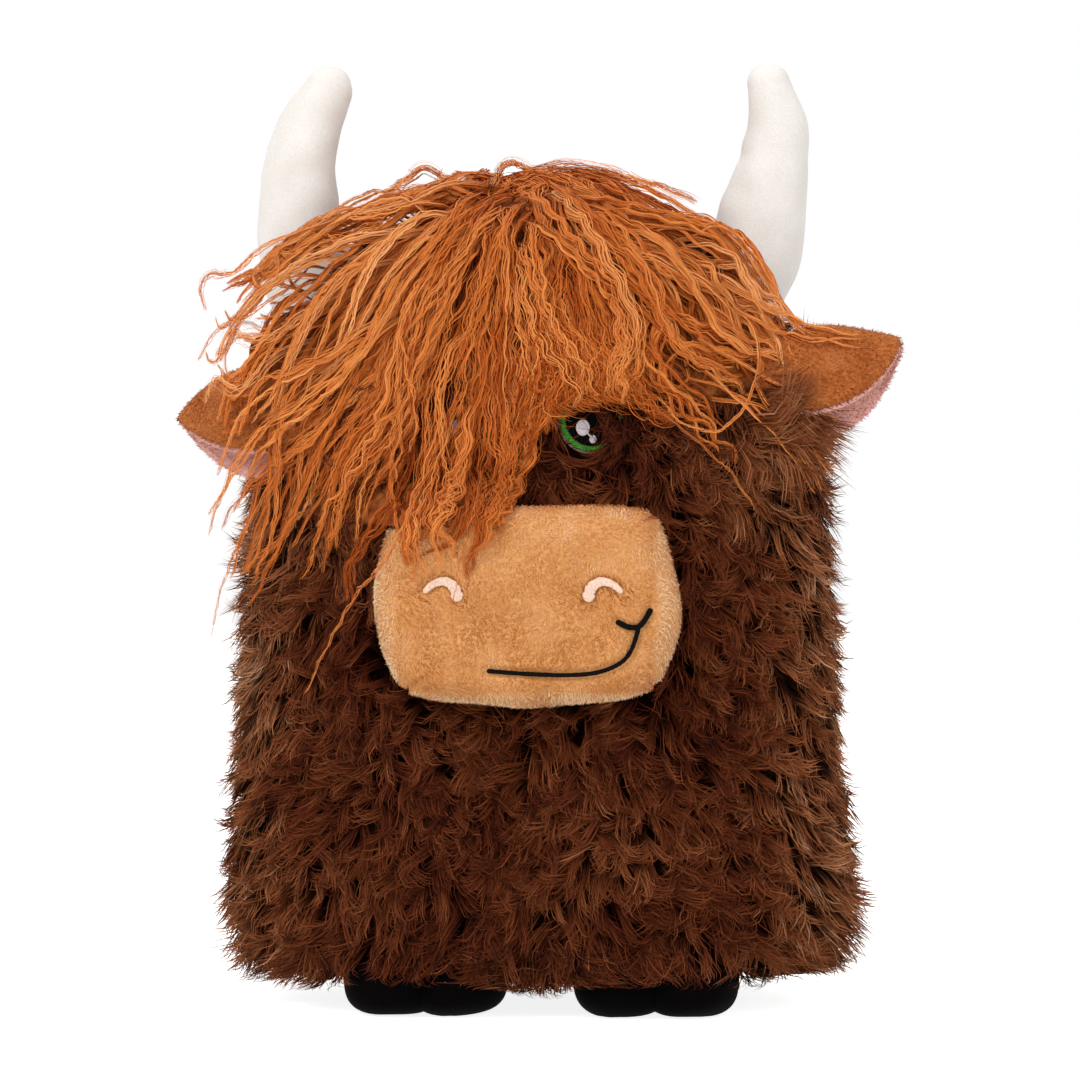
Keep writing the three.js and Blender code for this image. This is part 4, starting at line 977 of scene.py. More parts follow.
# The curtain over the eye: fine locks that end along one edge and curl under it to the right
def makeCurtain(draw, share):
    curtain = forelock["curtain"]
    count = curtain["locks"]
    line = np.linspace(*curtain["lines"], count) + draw.normal(0, 0.06, count)
    start, end = draw.uniform(*curtain["start"], count), draw.uniform(*curtain["end"], count)
    flat = alongFlow(line[:, None] + 0.12 * np.sin(share * 7 + line[:, None] * 5),
                     start[:, None] + (end - start)[:, None] * share)
    flat[..., 0] += 6 * easeBetween(share, 0.8, 1.0) ** 2
    lift = 8 - 3 * share[None] ** 3 * np.ones((count, 1))
    centres, outward = wavyCentres(flat, lift, np.full(count, 0.9), np.full(count, 9.0), 2.2 * line)
    radii = curtain["radius"] * (1 - 0.4 * share ** 4) * np.ones((count, 1))
    settleLocks("forelock_curtain", centres, outward, radii, curtain, draw)


# Short locks that fall behind the crown
def makeBackLocks(draw, share, lines):
    back = forelock["back"]
    count = back["locks"]
    line = np.linspace(0.2, lines - 1.2, count)
    start, end = draw.uniform(*back["start"], count), draw.uniform(*back["end"], count)
    flat = alongFlow(line[:, None] + draw.normal(0, 0.3, (count, 1)) * share,
                     start[:, None] + (end - start)[:, None] * share)
    lift = (9 * easeBetween(share, 0, 0.2) - 3 * share) * np.ones((count, 1))
    centres, outward = wavyCentres(flat, lift, np.full(count, 0.9), np.full(count, 12.0),
                                   draw.uniform(0, 6, count), back=True)
    radii = back["radius"] * (1 - 0.82 * share ** 2) * np.ones((count, 1))
    settleLocks("forelock_back", centres, outward, radii, back, draw)


# Places over the crown: top + reach * (cos turn, sin turn) * away, and down by drop * away^2
def overCrown(away, turn, lower=0.0):
    crown = forelock["crown"]
    wide, deep = crown["reach"]
    return np.stack([wide * away * np.cos(turn), deep * away * np.sin(turn),
                     -lower - crown["drop"] * away ** 2 * np.ones_like(turn)], -1)


# Short locks that lie every way over the crown
def makeCrownLocks(draw, share):
    crown = forelock["crown"]
    count = crown["locks"]
    turn = draw.uniform(0, 2 * np.pi, (count, 1)) + draw.normal(0, 0.35, (count, 1)) * share
    away = draw.uniform(0.04, 0.5, (count, 1)) + draw.uniform(0.3, 0.62, (count, 1)) * share
    top = crown["top"] + draw.uniform(-1, 1, (count, 1, 3)) * crown["scatter"]
    centres = top + overCrown(away, turn)
    outward = unit(centres - crown["inside"])
    tangent = unit(np.gradient(centres, axis=1))
    turns = draw.uniform(1.5, 2.8, (count, 1))
    wave = 1.3 * np.sin(2 * np.pi * share * turns + draw.uniform(0, 6, (count, 1)))
    centres = centres + np.cross(tangent, outward) * wave[..., None]
    radii = crown["radius"] * easeBetween(share, -0.1, 0.2) * (1 - 0.8 * share ** 2) * np.ones((count, 1))
    settleLocks("forelock_crown", centres[:, ::2], outward[:, ::2], radii[:, ::2], crown, draw)


# Single locks that follow their own points, those of each side in one piece
def makeSingleLocks(draw, share):
    single = forelock["single"]
    allPaths, allOutward = [], []
    for number, (strands, size, points) in enumerate(forelock["specials"]):
        flat = curveThrough(points, share)[None]
        # locks that start on the crown lie lower than those of the face
        low = single["lifts"][0 if points[0][1] > single["crownHeight"] else 1]
        centres, outward = wavyCentres(flat, np.full((1, len(share)), low), np.array([0.6]),
                                       np.array([15.0]), np.array([1.0 + number]))
        radii = (size * (1 - 0.8 * share ** 1.5))[None]
        wanted = {**forelock["strands"], "strands": strands}
        paths, outward, _ = strandsOfLocks(centres, outward, radii, wanted, 80 + number)
        allPaths.append(paths)
        allOutward.append(outward)
    ends = np.array([points[-1][0] for _, _, points in forelock["specials"]])
    for number, (side, low, high) in enumerate((("left", 80, 96), ("right", 84, 104))):
        picked = np.flatnonzero((ends > 0) == number)
        paths, outward = (np.concatenate([parts[one] for one in picked])
                          for parts in (allPaths, allOutward))
        piece = gingerPiece(f"forelock_wisps_{side}", paths, outward, single, draw, 59 + number)
        settle(piece, (side, low, high), "ginger_fur")


# The cap of short ginger pile that the locks grow from, before and behind the crown and on top
def makeCap(lines):
    cap, crown = forelock["cap"], forelock["crown"]
    shape = (cap["rows"], cap["columns"])
    columns = np.linspace(cap["lines"][0], lines - cap["lines"][1], cap["columns"])[None]
    backing = backingMaterial("ginger_pile_backing", "#743614", "#a8602e")
    for title, back, reach in (("forelock_cap", False, 0.8), ("forelock_cap_back", True, 0.22)):
        rows = np.linspace(0, reach, cap["rows"])[:, None]
        flat = alongFlow(np.broadcast_to(columns, shape), np.broadcast_to(rows, shape))
        rough = cap["rough"] * waviness(np.concatenate([flat, np.zeros((*shape, 1))], -1), 9, 71)
        thick = cap["thick"] * np.sin(np.pi * rows / reach) ** 0.3
        upper, outward = onHead(flat[..., 0], flat[..., 1], rough + 0.5, back)
        lower = upper - outward * thick[..., None]
        ring = np.concatenate([upper, lower[:, ::-1]], 1)
        settle(gridPiece(title, ring, backing), "body", "ginger_fur")
    mound = np.array(crown["top"]) + overCrown(np.linspace(0, 1, 16)[:, None], circle(40)[None], 1.8)
    settle(gridPiece("forelock_mound", mound, backing), "body", "ginger_fur")


# The whole forelock, whose parts take their random numbers from one row
def makeForelock():
    draw = np.random.default_rng(51)
    lines = len(forelock["flow"])
    share = np.linspace(0, 1, forelock["steps"])
    makeFrontLocks(draw, share, lines)
    makeCurtain(draw, share)
    makeBackLocks(draw, share, lines)
    makeCrownLocks(draw, share)
    makeSingleLocks(draw, share)
    makeCap(lines)


makeForelock()
print("forelock made")


# Short nap on a made piece: roots spread over its triangles by area, leaning along the nap's way.
# fibre = root + length * t * (normal * cos lean + way * sin lean), bent a little more towards its tip
def napOver(source, name, wanted, material, seed, hueBias=None, keep=None):
    draw = np.random.default_rng(seed)
    mesh = source.data
    mesh.calc_loop_triangles()
    corners = np.zeros(len(mesh.loop_triangles) * 3, np.int32)
    mesh.loop_triangles.foreach_get("vertices", corners)
    corners = corners.reshape(-1, 3)
    places, normals = np.zeros(len(mesh.vertices) * 3), np.zeros(len(mesh.vertices) * 3)
    mesh.vertices.foreach_get("co", places)
    mesh.vertices.foreach_get("normal", normals)
    places = (places.reshape(-1, 3) - toyMiddle) / mm
    normals = normals.reshape(-1, 3)
    a, b, c = (places[corners[:, index]] for index in range(3))
    area = np.linalg.norm(np.cross(b - a, c - a), axis=1)
    soFar = np.cumsum(area) / area.sum()
    count = wanted["fibres"]
    chosen = corners[np.minimum(np.searchsorted(soFar, (np.arange(count) + 0.5) / count), len(soFar) - 1)]
    first, second = np.sqrt(draw.uniform(0, 1, count)), draw.uniform(0, 1, count)
    weights = np.stack([1 - first, first * (1 - second), first * second], -1)[..., None]
    roots = (places[chosen] * weights).sum(1)
    normal = unit((normals[chosen] * weights).sum(1))
    if keep is not None:
        kept = keep(roots, normal)
        roots, normal = roots[kept], normal[kept]
        count = len(roots)
    ways = wanted["way"] + wanted["scatter"] * draw.normal(size=(count, 3))
    ways = ways + wanted["swirl"] * np.stack([waviness(roots, 22, seed + axis) for axis in range(3)], -1)
    ways = unit(ways - (ways * normal).sum(-1, keepdims=True) * normal)
    lean = np.radians(draw.uniform(*wanted["lean"], count))[:, None]
    length = wanted["length"] * draw.uniform(0.6, 1.25, count)[:, None]
    middle = roots + length * 0.5 * (normal * np.cos(lean) + ways * np.sin(lean))
    tip = middle + length * 0.5 * (normal * np.cos(lean * 1.15) + ways * np.sin(lean * 1.15))
    paths = np.stack([roots - 0.2 * normal, middle, tip], 1)
    outward = np.broadcast_to(normal[:, None], paths.shape)
    hue = 0.5 + 0.17 * waviness(roots, wanted["patch"], seed + 7)
    hue = hue + draw.normal(0, wanted["hueSpread"], count)
    if hueBias is not None:
        hue = hue + hueBias(roots)
    width = wanted["width"] * draw.uniform(0.7, 1.3, count)
    return strandPiece(name, paths, outward, width, hue, material, seed + 9)


# Short plush cloth: mottled ground under its nap, with the sheen of brushed fibre
def plushGround(name, dark, light, sheen=0.1, grain=900.0, strength=0.35):
    return clothMaterial(name, dark, light, {
        "Roughness": 0.9, "Specular IOR Level": 0.03, "Sheen Weight": sheen, "Sheen Roughness": 0.5,
    }, grain, 3.0, strength, 0.0008, stroked=True)


# Satin stitch: smooth rayon thread laid side by side, so it is glossy across and its colour runs in threads
def satinThread(name, dark, light, roughness, gloss=0.25):
    return clothMaterial(name, dark, light, {"Roughness": roughness, "Specular IOR Level": gloss},
                         1400.0, 2.0, 0.25, 0.0003)


# Muzzle: outline |x|^n + |z|^n = 1 carried back along its profile, with a dart at each corner

stitches = {
    "smile": {"halfWidth": 0.82, "places": [[-0.239, -0.638], [0.036, -0.668], [0.298, -0.678],
              [0.495, -0.648], [0.639, -0.555], [0.711, -0.423], [0.761, -0.199]]},
    "tick": {"halfWidth": 1.05, "places": [[0.609, -0.133], [0.692, -0.193], [0.761, -0.186],
             [0.809, -0.098], [0.841, -0.006]]},
    "nostril": {"halfWidth": 2.4, "endShare": 0.42, "places": [[0.424, 0.06], [0.448, 0.195],
                [0.51, 0.262], [0.588, 0.235], [0.652, 0.15]]},
    "height": 0.9, "gap": 0.3, "pitch": 0.5, "sunk": 0.35,
}
muzzleProfile = curveThrough(muzzle["levels"], np.linspace(0, 1, 200))
frontProfile = muzzleProfile[70:][::-1]  # from the middle of the front out to the rim


# A place on the muzzle's front: y = -face - reach * (profile's reach at the place's size) - lift
def onMuzzle(xShare, zShare, lift):
    n = muzzle["squareness"]
    size = (np.abs(xShare) ** n + np.abs(zShare) ** n) ** (1 / n)
    reach = np.interp(size, frontProfile[:, 1], frontProfile[:, 0])
    return np.stack([muzzle["width"] / 2 * xShare, -muzzle["face"] - muzzle["reach"] * reach - lift,
                     muzzle["middle"] + muzzle["height"] / 2 * zShare], -1)


# A line of stitches as points on the muzzle, half sunk in its plush
def stitchPath(name, count, mirror=1):
    shares = curveThrough(stitches[name]["places"], np.linspace(0, 1, count))
    lift = stitches["gap"] + stitches["height"] / 2 - stitches["sunk"]
    return onMuzzle(mirror * shares[:, 0], shares[:, 1], np.full(count, lift))


# Distance of each place from the nearest point of stitches, seen from the front
def gapToStitches(places, threads):
    return np.sqrt(((places[:, None, [0, 2]] - threads[None][..., [0, 2]]) ** 2).sum(-1)).min(1)


# Satin line: an ellipse carried along a path, whose size ripples with every thread laid across it
def satinRibbon(path, facing, halfWidths, height, seed):
    draw = np.random.default_rng(seed)
    tangent = unit(np.gradient(path, axis=0))
    across = unit(np.cross(facing, tangent))
    run = runAlong(path)
    thread = run / stitches["pitch"]
    ripple = np.abs(np.sin(np.pi * thread))
    ragged = draw.normal(0, 0.05, int(thread[-1]) + 3)[thread.astype(int)]
    turns = circle(12)
    end = np.minimum(run, run[-1] - run)
    blunt = np.sqrt(np.clip(1 - (1 - np.clip(end / halfWidths, 0, 1)) ** 2, 0, 1))  # rounds the ends
    wide = halfWidths * (0.93 + 0.07 * ripple + ragged) * blunt
    tall = height / 2 * (0.82 + 0.25 * ripple) * (0.3 + 0.7 * blunt) * np.minimum(blunt * 5, 1)
    return (path[:, None] + across[:, None] * (wide[:, None] * np.cos(turns))[..., None]
            + facing * (tall[:, None] * np.sin(turns))[..., None])


# Brushed tan plush: short dense polyester pile, mottled where it is stroked one way or the other
tanNap = fibreMaterial(
    "brushed_tan_plush",
    [(0.0, "#b0602a"), (0.3, "#d08546"), (0.55, "#e6a266"), (0.8, "#f6bd84"), (1.0, "#ffdcb2")],
    [(0.0, "#c4b6aa"), (0.5, "#f2ece6"), (1.0, "#ffffff")], 0.6, 0.12)


# Muzzle outline: four sides bowed out between the darted corners, anticlockwise from the top right one.
# side = corner + (next - corner) * u + outward * bow * (1 - |2u - 1|^p), so that each side reaches 1
def muzzleOutline():
    corners = np.array(muzzle["corners"])
    outwards = np.array([(0, 1), (-1, 0), (0, -1), (1, 0)])
    u = np.linspace(0, 1, 200, endpoint=False)[:, None]
    bows = []
    following = np.roll(corners, -1, axis=0)
    for corner, after, outward, power in zip(corners, following, outwards, muzzle["bowPowers"]):
        bow = 1 - outward @ (corner + after) / 2
        bows.append(corner + (after - corner) * u + outward * bow * (1 - np.abs(2 * u - 1) ** power))
    outline = np.concatenate(bows + [corners[:1]]) * [muzzle["width"] / 2, muzzle["height"] / 2]
    run = runAlong(outline)
    places = np.linspace(0, run[-1], muzzle["columns"] + 1)[:-1]
    even = np.stack([np.interp(places, run, outline[:, axis]) for axis in (0, 1)], -1)
    return even, places, run[:-1:200], run[-1]


# The padded muzzle and its nap, which leaves the stitches free
def makeMuzzle():
    outline, places, cornerRuns, around = muzzleOutline()
    rows, columns = muzzle["rows"], muzzle["columns"]
    meanHalf = (muzzle["width"] + muzzle["height"]) / 4
    step = addedUp(np.hypot(np.diff(muzzleProfile[:, 0]) * muzzle["reach"],
                            np.diff(muzzleProfile[:, 1]) * meanHalf))
    even = np.linspace(0, step[-1], rows)
    reach, size = (np.interp(even, step, muzzleProfile[:, column]) for column in (0, 1))
    grid = np.zeros((rows, columns, 3))
    grid[..., 0] = outline[:, 0] * size[:, None]
    grid[..., 1] = -muzzle["face"] - muzzle["reach"] * reach[:, None]
    grid[..., 2] = muzzle["middle"] + outline[:, 1] * size[:, None]
    # soft hollows of the stuffing, the corner darts and the dents that the embroidery pulls
    inward = unit(np.stack([-outline[:, 0], np.zeros(columns), -outline[:, 1]], -1))[None]
    sideways = np.min(np.abs((places[:, None] - cornerRuns + around / 2) % around - around / 2), 1)
    front = easeBetween(size, 1.0, 0.72) * (reach > 0.5)
    dart = np.exp(-(sideways[None] / muzzle["dartWidth"]) ** 2) * (1 - front)[:, None]
    grid += inward * (muzzle["dartDepth"] * dart * easeBetween(reach, -0.1, 0.3)[:, None])[..., None]
    grid[..., 1] += 0.9 * dart * easeBetween(reach, 0.6, 0.95)[:, None]
    grid += inward * (0.7 * waviness(grid, 34, 31))[..., None] * (size[:, None] > 0.5)[..., None]
    grid[..., 1] += 0.45 * waviness(grid, 30, 32) * easeBetween(reach, 0.5, 0.9)[:, None]
    nostrils = np.concatenate([stitchPath("nostril", 20), stitchPath("nostril", 20, -1)])
    threads = np.concatenate([stitchPath("smile", 60), stitchPath("tick", 20), nostrils])
    far = gapToStitches(grid.reshape(-1, 3), threads).reshape(rows, columns)
    groove = muzzle["grooveDepth"] * np.exp(-(np.maximum(far - 1.2, 0) / 1.1) ** 2)
    grid[..., 1] += groove * (reach > 0.5)[:, None]
    ground = plushGround("brushed_tan_plush_ground", "#cc8848", "#e8ac70")
    piece = gridPiece("muzzle_plush", closeEnds(grid), ground)
    settle(piece, "body", "tan_plush", "muzzle_cover", "muzzle_stuffing")

    # true off the stitches on the front, and nowhere on the part that is sunk in the face
    def offStitches(roots, _):
        gap = gapToStitches(roots, threads)
        return ((gap > 1.35) | (roots[:, 1] > -90)) & (roots[:, 1] < -66)

    # hue added as painted sheen where the pile turns away, at the sides (most at the left), below and a
    # little on top, and taken off round the nostrils as painted shade in their grooves
    def litEdgesAndGrooveShade(roots):
        across = np.abs(roots[:, 0]) / (muzzle["width"] / 2)
        below = (muzzle["middle"] - roots[:, 2]) / (muzzle["height"] / 2)
        flanks = np.where(roots[:, 0] < 0, 3.3, 2.0) * easeBetween(across, 0.82, 0.9)
        band = np.maximum(flanks, 1.2 * easeBetween(below, 0.8, 0.9))
        band = np.maximum(band, 0.4 * easeBetween(-below, 0.1, 0.5))
        return 0.42 * band - 0.35 * easeBetween(gapToStitches(roots, nostrils), 4.6, 2.6)

    nap = napOver(piece, "muzzle_nap", muzzle["nap"], tanNap, 33, litEdgesAndGrooveShade, offStitches)
    settle(nap, "body", "tan_plush")


# Smile and tick in black, nostrils in pink
def makeStitches():
    facing = np.array([0, -1.0, 0])
    blackThread = satinThread("black_rayon_satin_stitch", "#050404", "#100e0e", 0.45, 0.04)
    pinkThread = satinThread("pale_pink_rayon_satin_stitch", "#e3bca4", "#f8dcc8", 0.45)
    ribbons = []
    for name, count, seed in (("smile", 620, 35), ("tick", 160, 36)):
        half = np.full(count, stitches[name]["halfWidth"])
        ribbons.append(satinRibbon(stitchPath(name, count), facing, half, stitches["height"], seed))
    piece = gridPiece("smile_stitches", ribbons[0], blackThread, extra=ribbons[1:])
    settle(piece, "body", "black_thread", "smile")
    for side, mirror in sides.items():
        count = 240
        share = np.linspace(0, 1, count)
        wide = stitches["nostril"]["halfWidth"] * (1 - (1 - stitches["nostril"]["endShare"]) * share)
        ribbon = satinRibbon(stitchPath("nostril", count, mirror), facing, wide, stitches["height"], 37)
        piece = gridPiece(f"nostril_{side}_stitches", ribbon, pinkThread)
        settle(piece, "body", "pink_thread", f"nostril_{side}")


makeMuzzle()
makeStitches()
print("muzzle and its stitches made")


# Eyes: felt patch, ring of green satin stitch, black fill stitch and two pale glints joined by a thread

# The eye's frame on the face: right and up by differences of the skin, outward = right x up
def eyeFrame(sign):
    x, height, step = sign * eyes["spread"], eyes["height"], eyes["patchRadius"] / 2

    def place(across, up):
        return np.array([x + across, -float(faceDepth(x + across, height + up)), height + up])

    right = unit(place(step, 0) - place(-step, 0))
    up = place(0, step) - place(0, -step)
    outward = unit(np.cross(right, up))
    return place(0, 0), right, outward, np.cross(outward, right)


def makeEyes():
    # the pale felt is painted a darker grey, as painted shade from the fur that hangs over it
    felt = plushGround("pale_felt", "#8d7a72", "#b8a49a", 0.05, 1500.0)
    green = satinThread("green_rayon_satin_stitch", "#1a5211", "#459030", 0.42, 0.1)
    black = satinThread("black_rayon_fill_stitch", "#040303", "#0b0a0a", 0.45, 0.02)
    white = satinThread("mauve_white_rayon_stitch", "#b9b0b6", "#dcd5d8", 0.4)
    most = 720
    turns = circle(most)
    share = np.linspace(0, 1, 12)[:, None]
    rim, rise = np.sin(np.pi * share), 0.5 - 0.5 * np.cos(np.pi * share)  # a closed lens shape
    for side, sign in sides.items():
        middle, right, outward, up = eyeFrame(sign)

        # a ring profile of radius and height turned about the eye's middle
        def turned(radii, heights, centre=(0, 0), tall=1.0, count=most):
            spin = turns[::most // count]
            across = centre[0] + radii * np.cos(spin)
            upwards = centre[1] + radii * np.sin(spin) * tall
            heights = np.broadcast_to(heights, across.shape)
            return (middle + across[..., None] * right + upwards[..., None] * up
                    + heights[..., None] * outward)

        base = eyes["gap"]
        patch = turned(eyes["patchRadius"] * rim, base + eyes["patchThick"] * rise, count=90)
        settle(gridPiece(f"eye_{side}_felt", patch, felt), "body", "pale_felt", f"eye_{side}_patch")
        base += eyes["patchThick"] + eyes["gap"]
        # green ring: half an ellipse, rippled by each thread that crosses it
        threads = np.abs(np.sin(np.pi * turns * eyes["radius"] / stitches["pitch"] / 1.05))[None]
        ringMiddle, ringHalf = eyes["radius"] - eyes["ring"] / 2, eyes["ring"] / 2
        angle = 2 * np.pi * np.linspace(0, 1, 13)[:, None]
        half = eyes["stitch"] / 2
        ring = turned(ringMiddle + ringHalf * (0.95 + 0.08 * threads) * np.cos(angle),
                      base + half + half * (0.8 + 0.3 * threads) * np.sin(angle))
        settle(gridPiece(f"eye_{side}_ring", ring, green), "body", "green_thread", f"eye_{side}_iris")
        inner = eyes["radius"] - eyes["ring"] - eyes["gap"] / 2
        dome = turned(inner * rim, base + (eyes["stitch"] - 0.1) * rise, count=90)
        settle(gridPiece(f"eye_{side}_fill", dome, black), "body", "black_thread", f"eye_{side}_pupil")
        base += eyes["stitch"] + eyes["gap"] - 0.25
        parts = []
        for across, upwards, radiusShare in eyes["glints"]:
            centre = (eyes["radius"] * across, eyes["radius"] * upwards)
            size = eyes["radius"] * radiusShare
            ridges = 0.06 * np.abs(np.sin(np.pi * size * share * np.cos(turns[::10]) / stitches["pitch"]))
            parts.append(turned(size * rim, base + (eyes["stitch"] * 0.8 + ridges) * rise,
                                centre, eyes["glintTall"], most // 10))
        piece = gridPiece(f"eye_{side}_glints", parts[0], white, extra=parts[1:])
        settle(piece, "body", "white_thread", f"eye_{side}_glint")
        # the thread that joins the glints
        ends = np.array([[eyes["radius"] * across, eyes["radius"] * upwards]
                         for across, upwards, _ in eyes["glints"]])
        line = ends[0] + (ends[1] - ends[0]) * np.linspace(0, 1, 20)[:, None]
        path = middle + line[:, :1] * right + line[:, 1:] * up + (base + 0.35) * outward
        jump = satinRibbon(path, outward, np.full(20, 0.3), 0.5, 38)
        settle(gridPiece(f"eye_{side}_jump_stitch", jump, white), "body", "white_thread")


makeEyes()
print("eyes made")


# Horns: a round tube of falling radius along a bent axis, softly dented by its stuffing

hornDents = {  # share along the horn, turn about it, depth in mm
    "halves": (0.035, 0.6),  # half sizes of a dent, as a share and in radians
    "left": [(0.93, 0.2, 0.9), (0.6, 0.6, 1.1), (0.44, 0.5, 1.0), (0.3, 3.6, 0.8)],
    "right": [(0.35, 2.7, 0.9), (0.6, 3.4, 0.7), (0.16, 0.4, 0.8)],
}


def makeHorns():
    velour = plushGround("white_velour", "#e8e2db", "#f3efea", 0.1, 1300.0, 0.2)
    turns, cap = circle(72), np.linspace(0, np.pi / 2, 16)[1:]
    for side, sign in sides.items():
        axis, radius = hornAxis(side, np.linspace(0, 1, 90))
        tangent = unit(np.gradient(axis, axis=0))
        # a round end is added to the tube
        axis = np.concatenate([axis, axis[-1] + tangent[-1] * radius[-1] * np.sin(cap)[:, None]])
        radius = np.concatenate([radius, radius[-1] * np.cos(cap)])
        tangent = np.concatenate([tangent, np.repeat(tangent[-1:], len(cap), 0)])
        across = np.stack([tangent[:, 2], np.zeros(len(tangent)), -tangent[:, 0]], -1)
        along = np.linspace(0, 1, len(axis))
        dent = np.zeros((len(axis), len(turns)))
        long, wide = hornDents["halves"]
        for place, turn, depth in hornDents[side]:
            away = (turns - turn + np.pi) % (2 * np.pi) - np.pi
            dent += depth * np.exp(-((along[:, None] - place) / long) ** 2 - (away / wide) ** 2)
        around = np.cos(turns)[:, None] * across[:, None] + np.sin(turns)[:, None] * np.array([0, 1.0, 0])
        grid = axis[:, None] + around * radius[:, None, None]
        soft = 0.45 * waviness(grid, 30, 41 + sign) + 0.2 * waviness(grid, 12, 43 + sign)
        grid = grid + around * ((soft - dent) * np.minimum(radius / 6, 1)[:, None])[..., None]
        grid = np.concatenate([np.repeat(axis[:1, None], len(turns), 1), grid])
        grid[-1] = grid[-1].mean(0)
        piece = gridPiece(f"horn_{side}_velour", grid, velour)
        settle(piece, "body", "white_plush", f"horn_{side}_cover", f"horn_{side}_stuffing")


makeHorns()
print("horns made")


# Ears: a leaf of plush folded over along its top, rust outside and pink inside

ears = {
    "length": 54, "halfHeight": 19.5, "cloth": 1.6, "foldHalf": 5.4, "pinchHalf": 2.2, "leafShare": 0.18,
    "leafPower": 0.75, "frontShare": 0.6, "endShare": 0.985, "tipPower": 5, "gap": 0.3, "bow": 0.12,
    "ripple": 0.5, "liningStart": 0.09, "liningDrop": 1.6, "liningThin": 0.3,
    "nap": {"fibres": 5500, "length": 1.7, "width": 0.34, "scatter": 0.4, "swirl": 0.4, "lean": (50, 78),
            "patch": 14, "hueSpread": 0.16},
    "left": {"tipRise": -1.0, "origin": (-85.157, -51.732, 218.404), "x": (0.879056, -0.472255, -0.065078),
             "y": (0.461641, 0.877346, -0.130964), "z": (0.118944, 0.085082, 0.989249)},
    "right": {"tipRise": 9.6, "origin": (83.587, -50.614, 231.428), "x": (0.989345, 0.007312, 0.145405),
              "y": (0.007312, 0.994982, -0.099791), "z": (-0.145405, 0.099791, 0.984327)},
}


# Section of an ear at a share of its length: straight front wall, arc over the fold, straight back wall.
# half height = H sin(pi (leaf + (1 - leaf) share))^p, arc's middle = rise * share^5 + half - fold - cloth
def earSection(share, side, offset):
    wave = np.sin(np.pi * (ears["leafShare"] + (1 - ears["leafShare"]) * share))
    half = ears["halfHeight"] * wave ** ears["leafPower"]
    fold = ears["pinchHalf"] + (ears["foldHalf"] - ears["pinchHalf"]) * np.sin(np.pi * share)
    middle = ears[side]["tipRise"] * share ** ears["tipPower"]
    top = middle + half - fold - ears["cloth"]
    radius = np.maximum(fold + offset, 0.4)
    walls, turns = np.linspace(0, 1, 14), np.linspace(0, np.pi, 20)
    ones, bow = np.ones(len(walls) - 1), np.sin(np.pi * walls)
    frontEnd, backEnd = middle - half * ears["frontShare"], middle - half
    y = np.concatenate([-radius * ones, -radius * np.cos(turns), radius * ones])
    z = np.concatenate([(frontEnd + (top - frontEnd) * walls)[:-1], top + radius * np.sin(turns),
                        (top + (backEnd - top) * walls)[1:]])
    # the walls bow apart a little towards their free edges and their cloth ripples
    belly = np.concatenate([bow[:-1], np.zeros(len(turns)), bow[1:]])
    y = y * (1 + ears["bow"] * belly) + ears["ripple"] * np.sin(share * 9 + z / 5) * belly
    return np.stack([np.full_like(y, sides[side] * ears["length"] * share), y, z], -1)


def makeEars():
    rust = plushGround("rust_velour", "#984a20", "#c2733c", 0.1, 1000.0)
    pink = plushGround("pink_velour", "#e6a498", "#f5c3b8", 0.1, 1000.0)
    rustNap = fibreMaterial("rust_short_pile", [(0.0, "#883f17"), (0.5, "#b9682e"), (1.0, "#dc9a66")],
                            [(0.0, "#b0a49a"), (1.0, "#ffffff")], 0.65, 0.1)
    pinkNap = fibreMaterial("pink_short_pile", [(0.0, "#e09489"), (0.5, "#f0b3a9"), (1.0, "#fbd3ca")],
                            [(0.0, "#c9bfba"), (1.0, "#ffffff")], 0.65, 0.1)
    layers = (("outer", ears["cloth"], 0.0, ears["cloth"], rust, rustNap, "rust_plush"),
              ("lining", -ears["gap"], ears["liningStart"], ears["cloth"] - ears["liningThin"],
               pink, pinkNap, "pink_plush"))
    for side, sign in sides.items():
        made = ears[side]
        basis = np.array([made["x"], made["y"], made["z"]])
        origin = np.array(made["origin"]) - toyMiddle / mm
        wanted = {**ears["nap"], "way": np.array([sign * 1.0, 0, -0.3])}
        for layer, offset, start, thick, ground, nap, slot in layers:
            shares = start + (ears["endShare"] - start) * np.linspace(0, 1, 60)
            over, under = (np.stack([earSection(share, side, size) for share in shares])
                           for size in (offset, offset - thick))
            if layer == "lining":  # its edges peep out below the outer cloth
                edge = np.abs(np.linspace(-1, 1, over.shape[1]))
                drop = easeBetween(edge, 0.55, 1.0) * ears["liningDrop"]
                over[..., 2] -= drop
                under[..., 2] -= drop
            ring = np.concatenate([over, under[:, ::-1]], 1)
            middle = ring.mean(1, keepdims=True).repeat(ring.shape[1], 1)
            ring = np.concatenate([middle[:1], ring, middle[-1:]])
            piece = gridPiece(f"ear_{side}_{layer}_velour", origin + ring @ basis, ground)
            settle(piece, f"ear_{side}", slot, f"ear_{side}_{layer}")
            settle(napOver(piece, f"ear_{side}_{layer}_nap", wanted, nap, 91), f"ear_{side}", slot)


makeEars()
print("ears made")


# Feet: two squared toes side by side, |x|^n + |y|^n + |z|^n = 1 stretched to size, flat where they stand

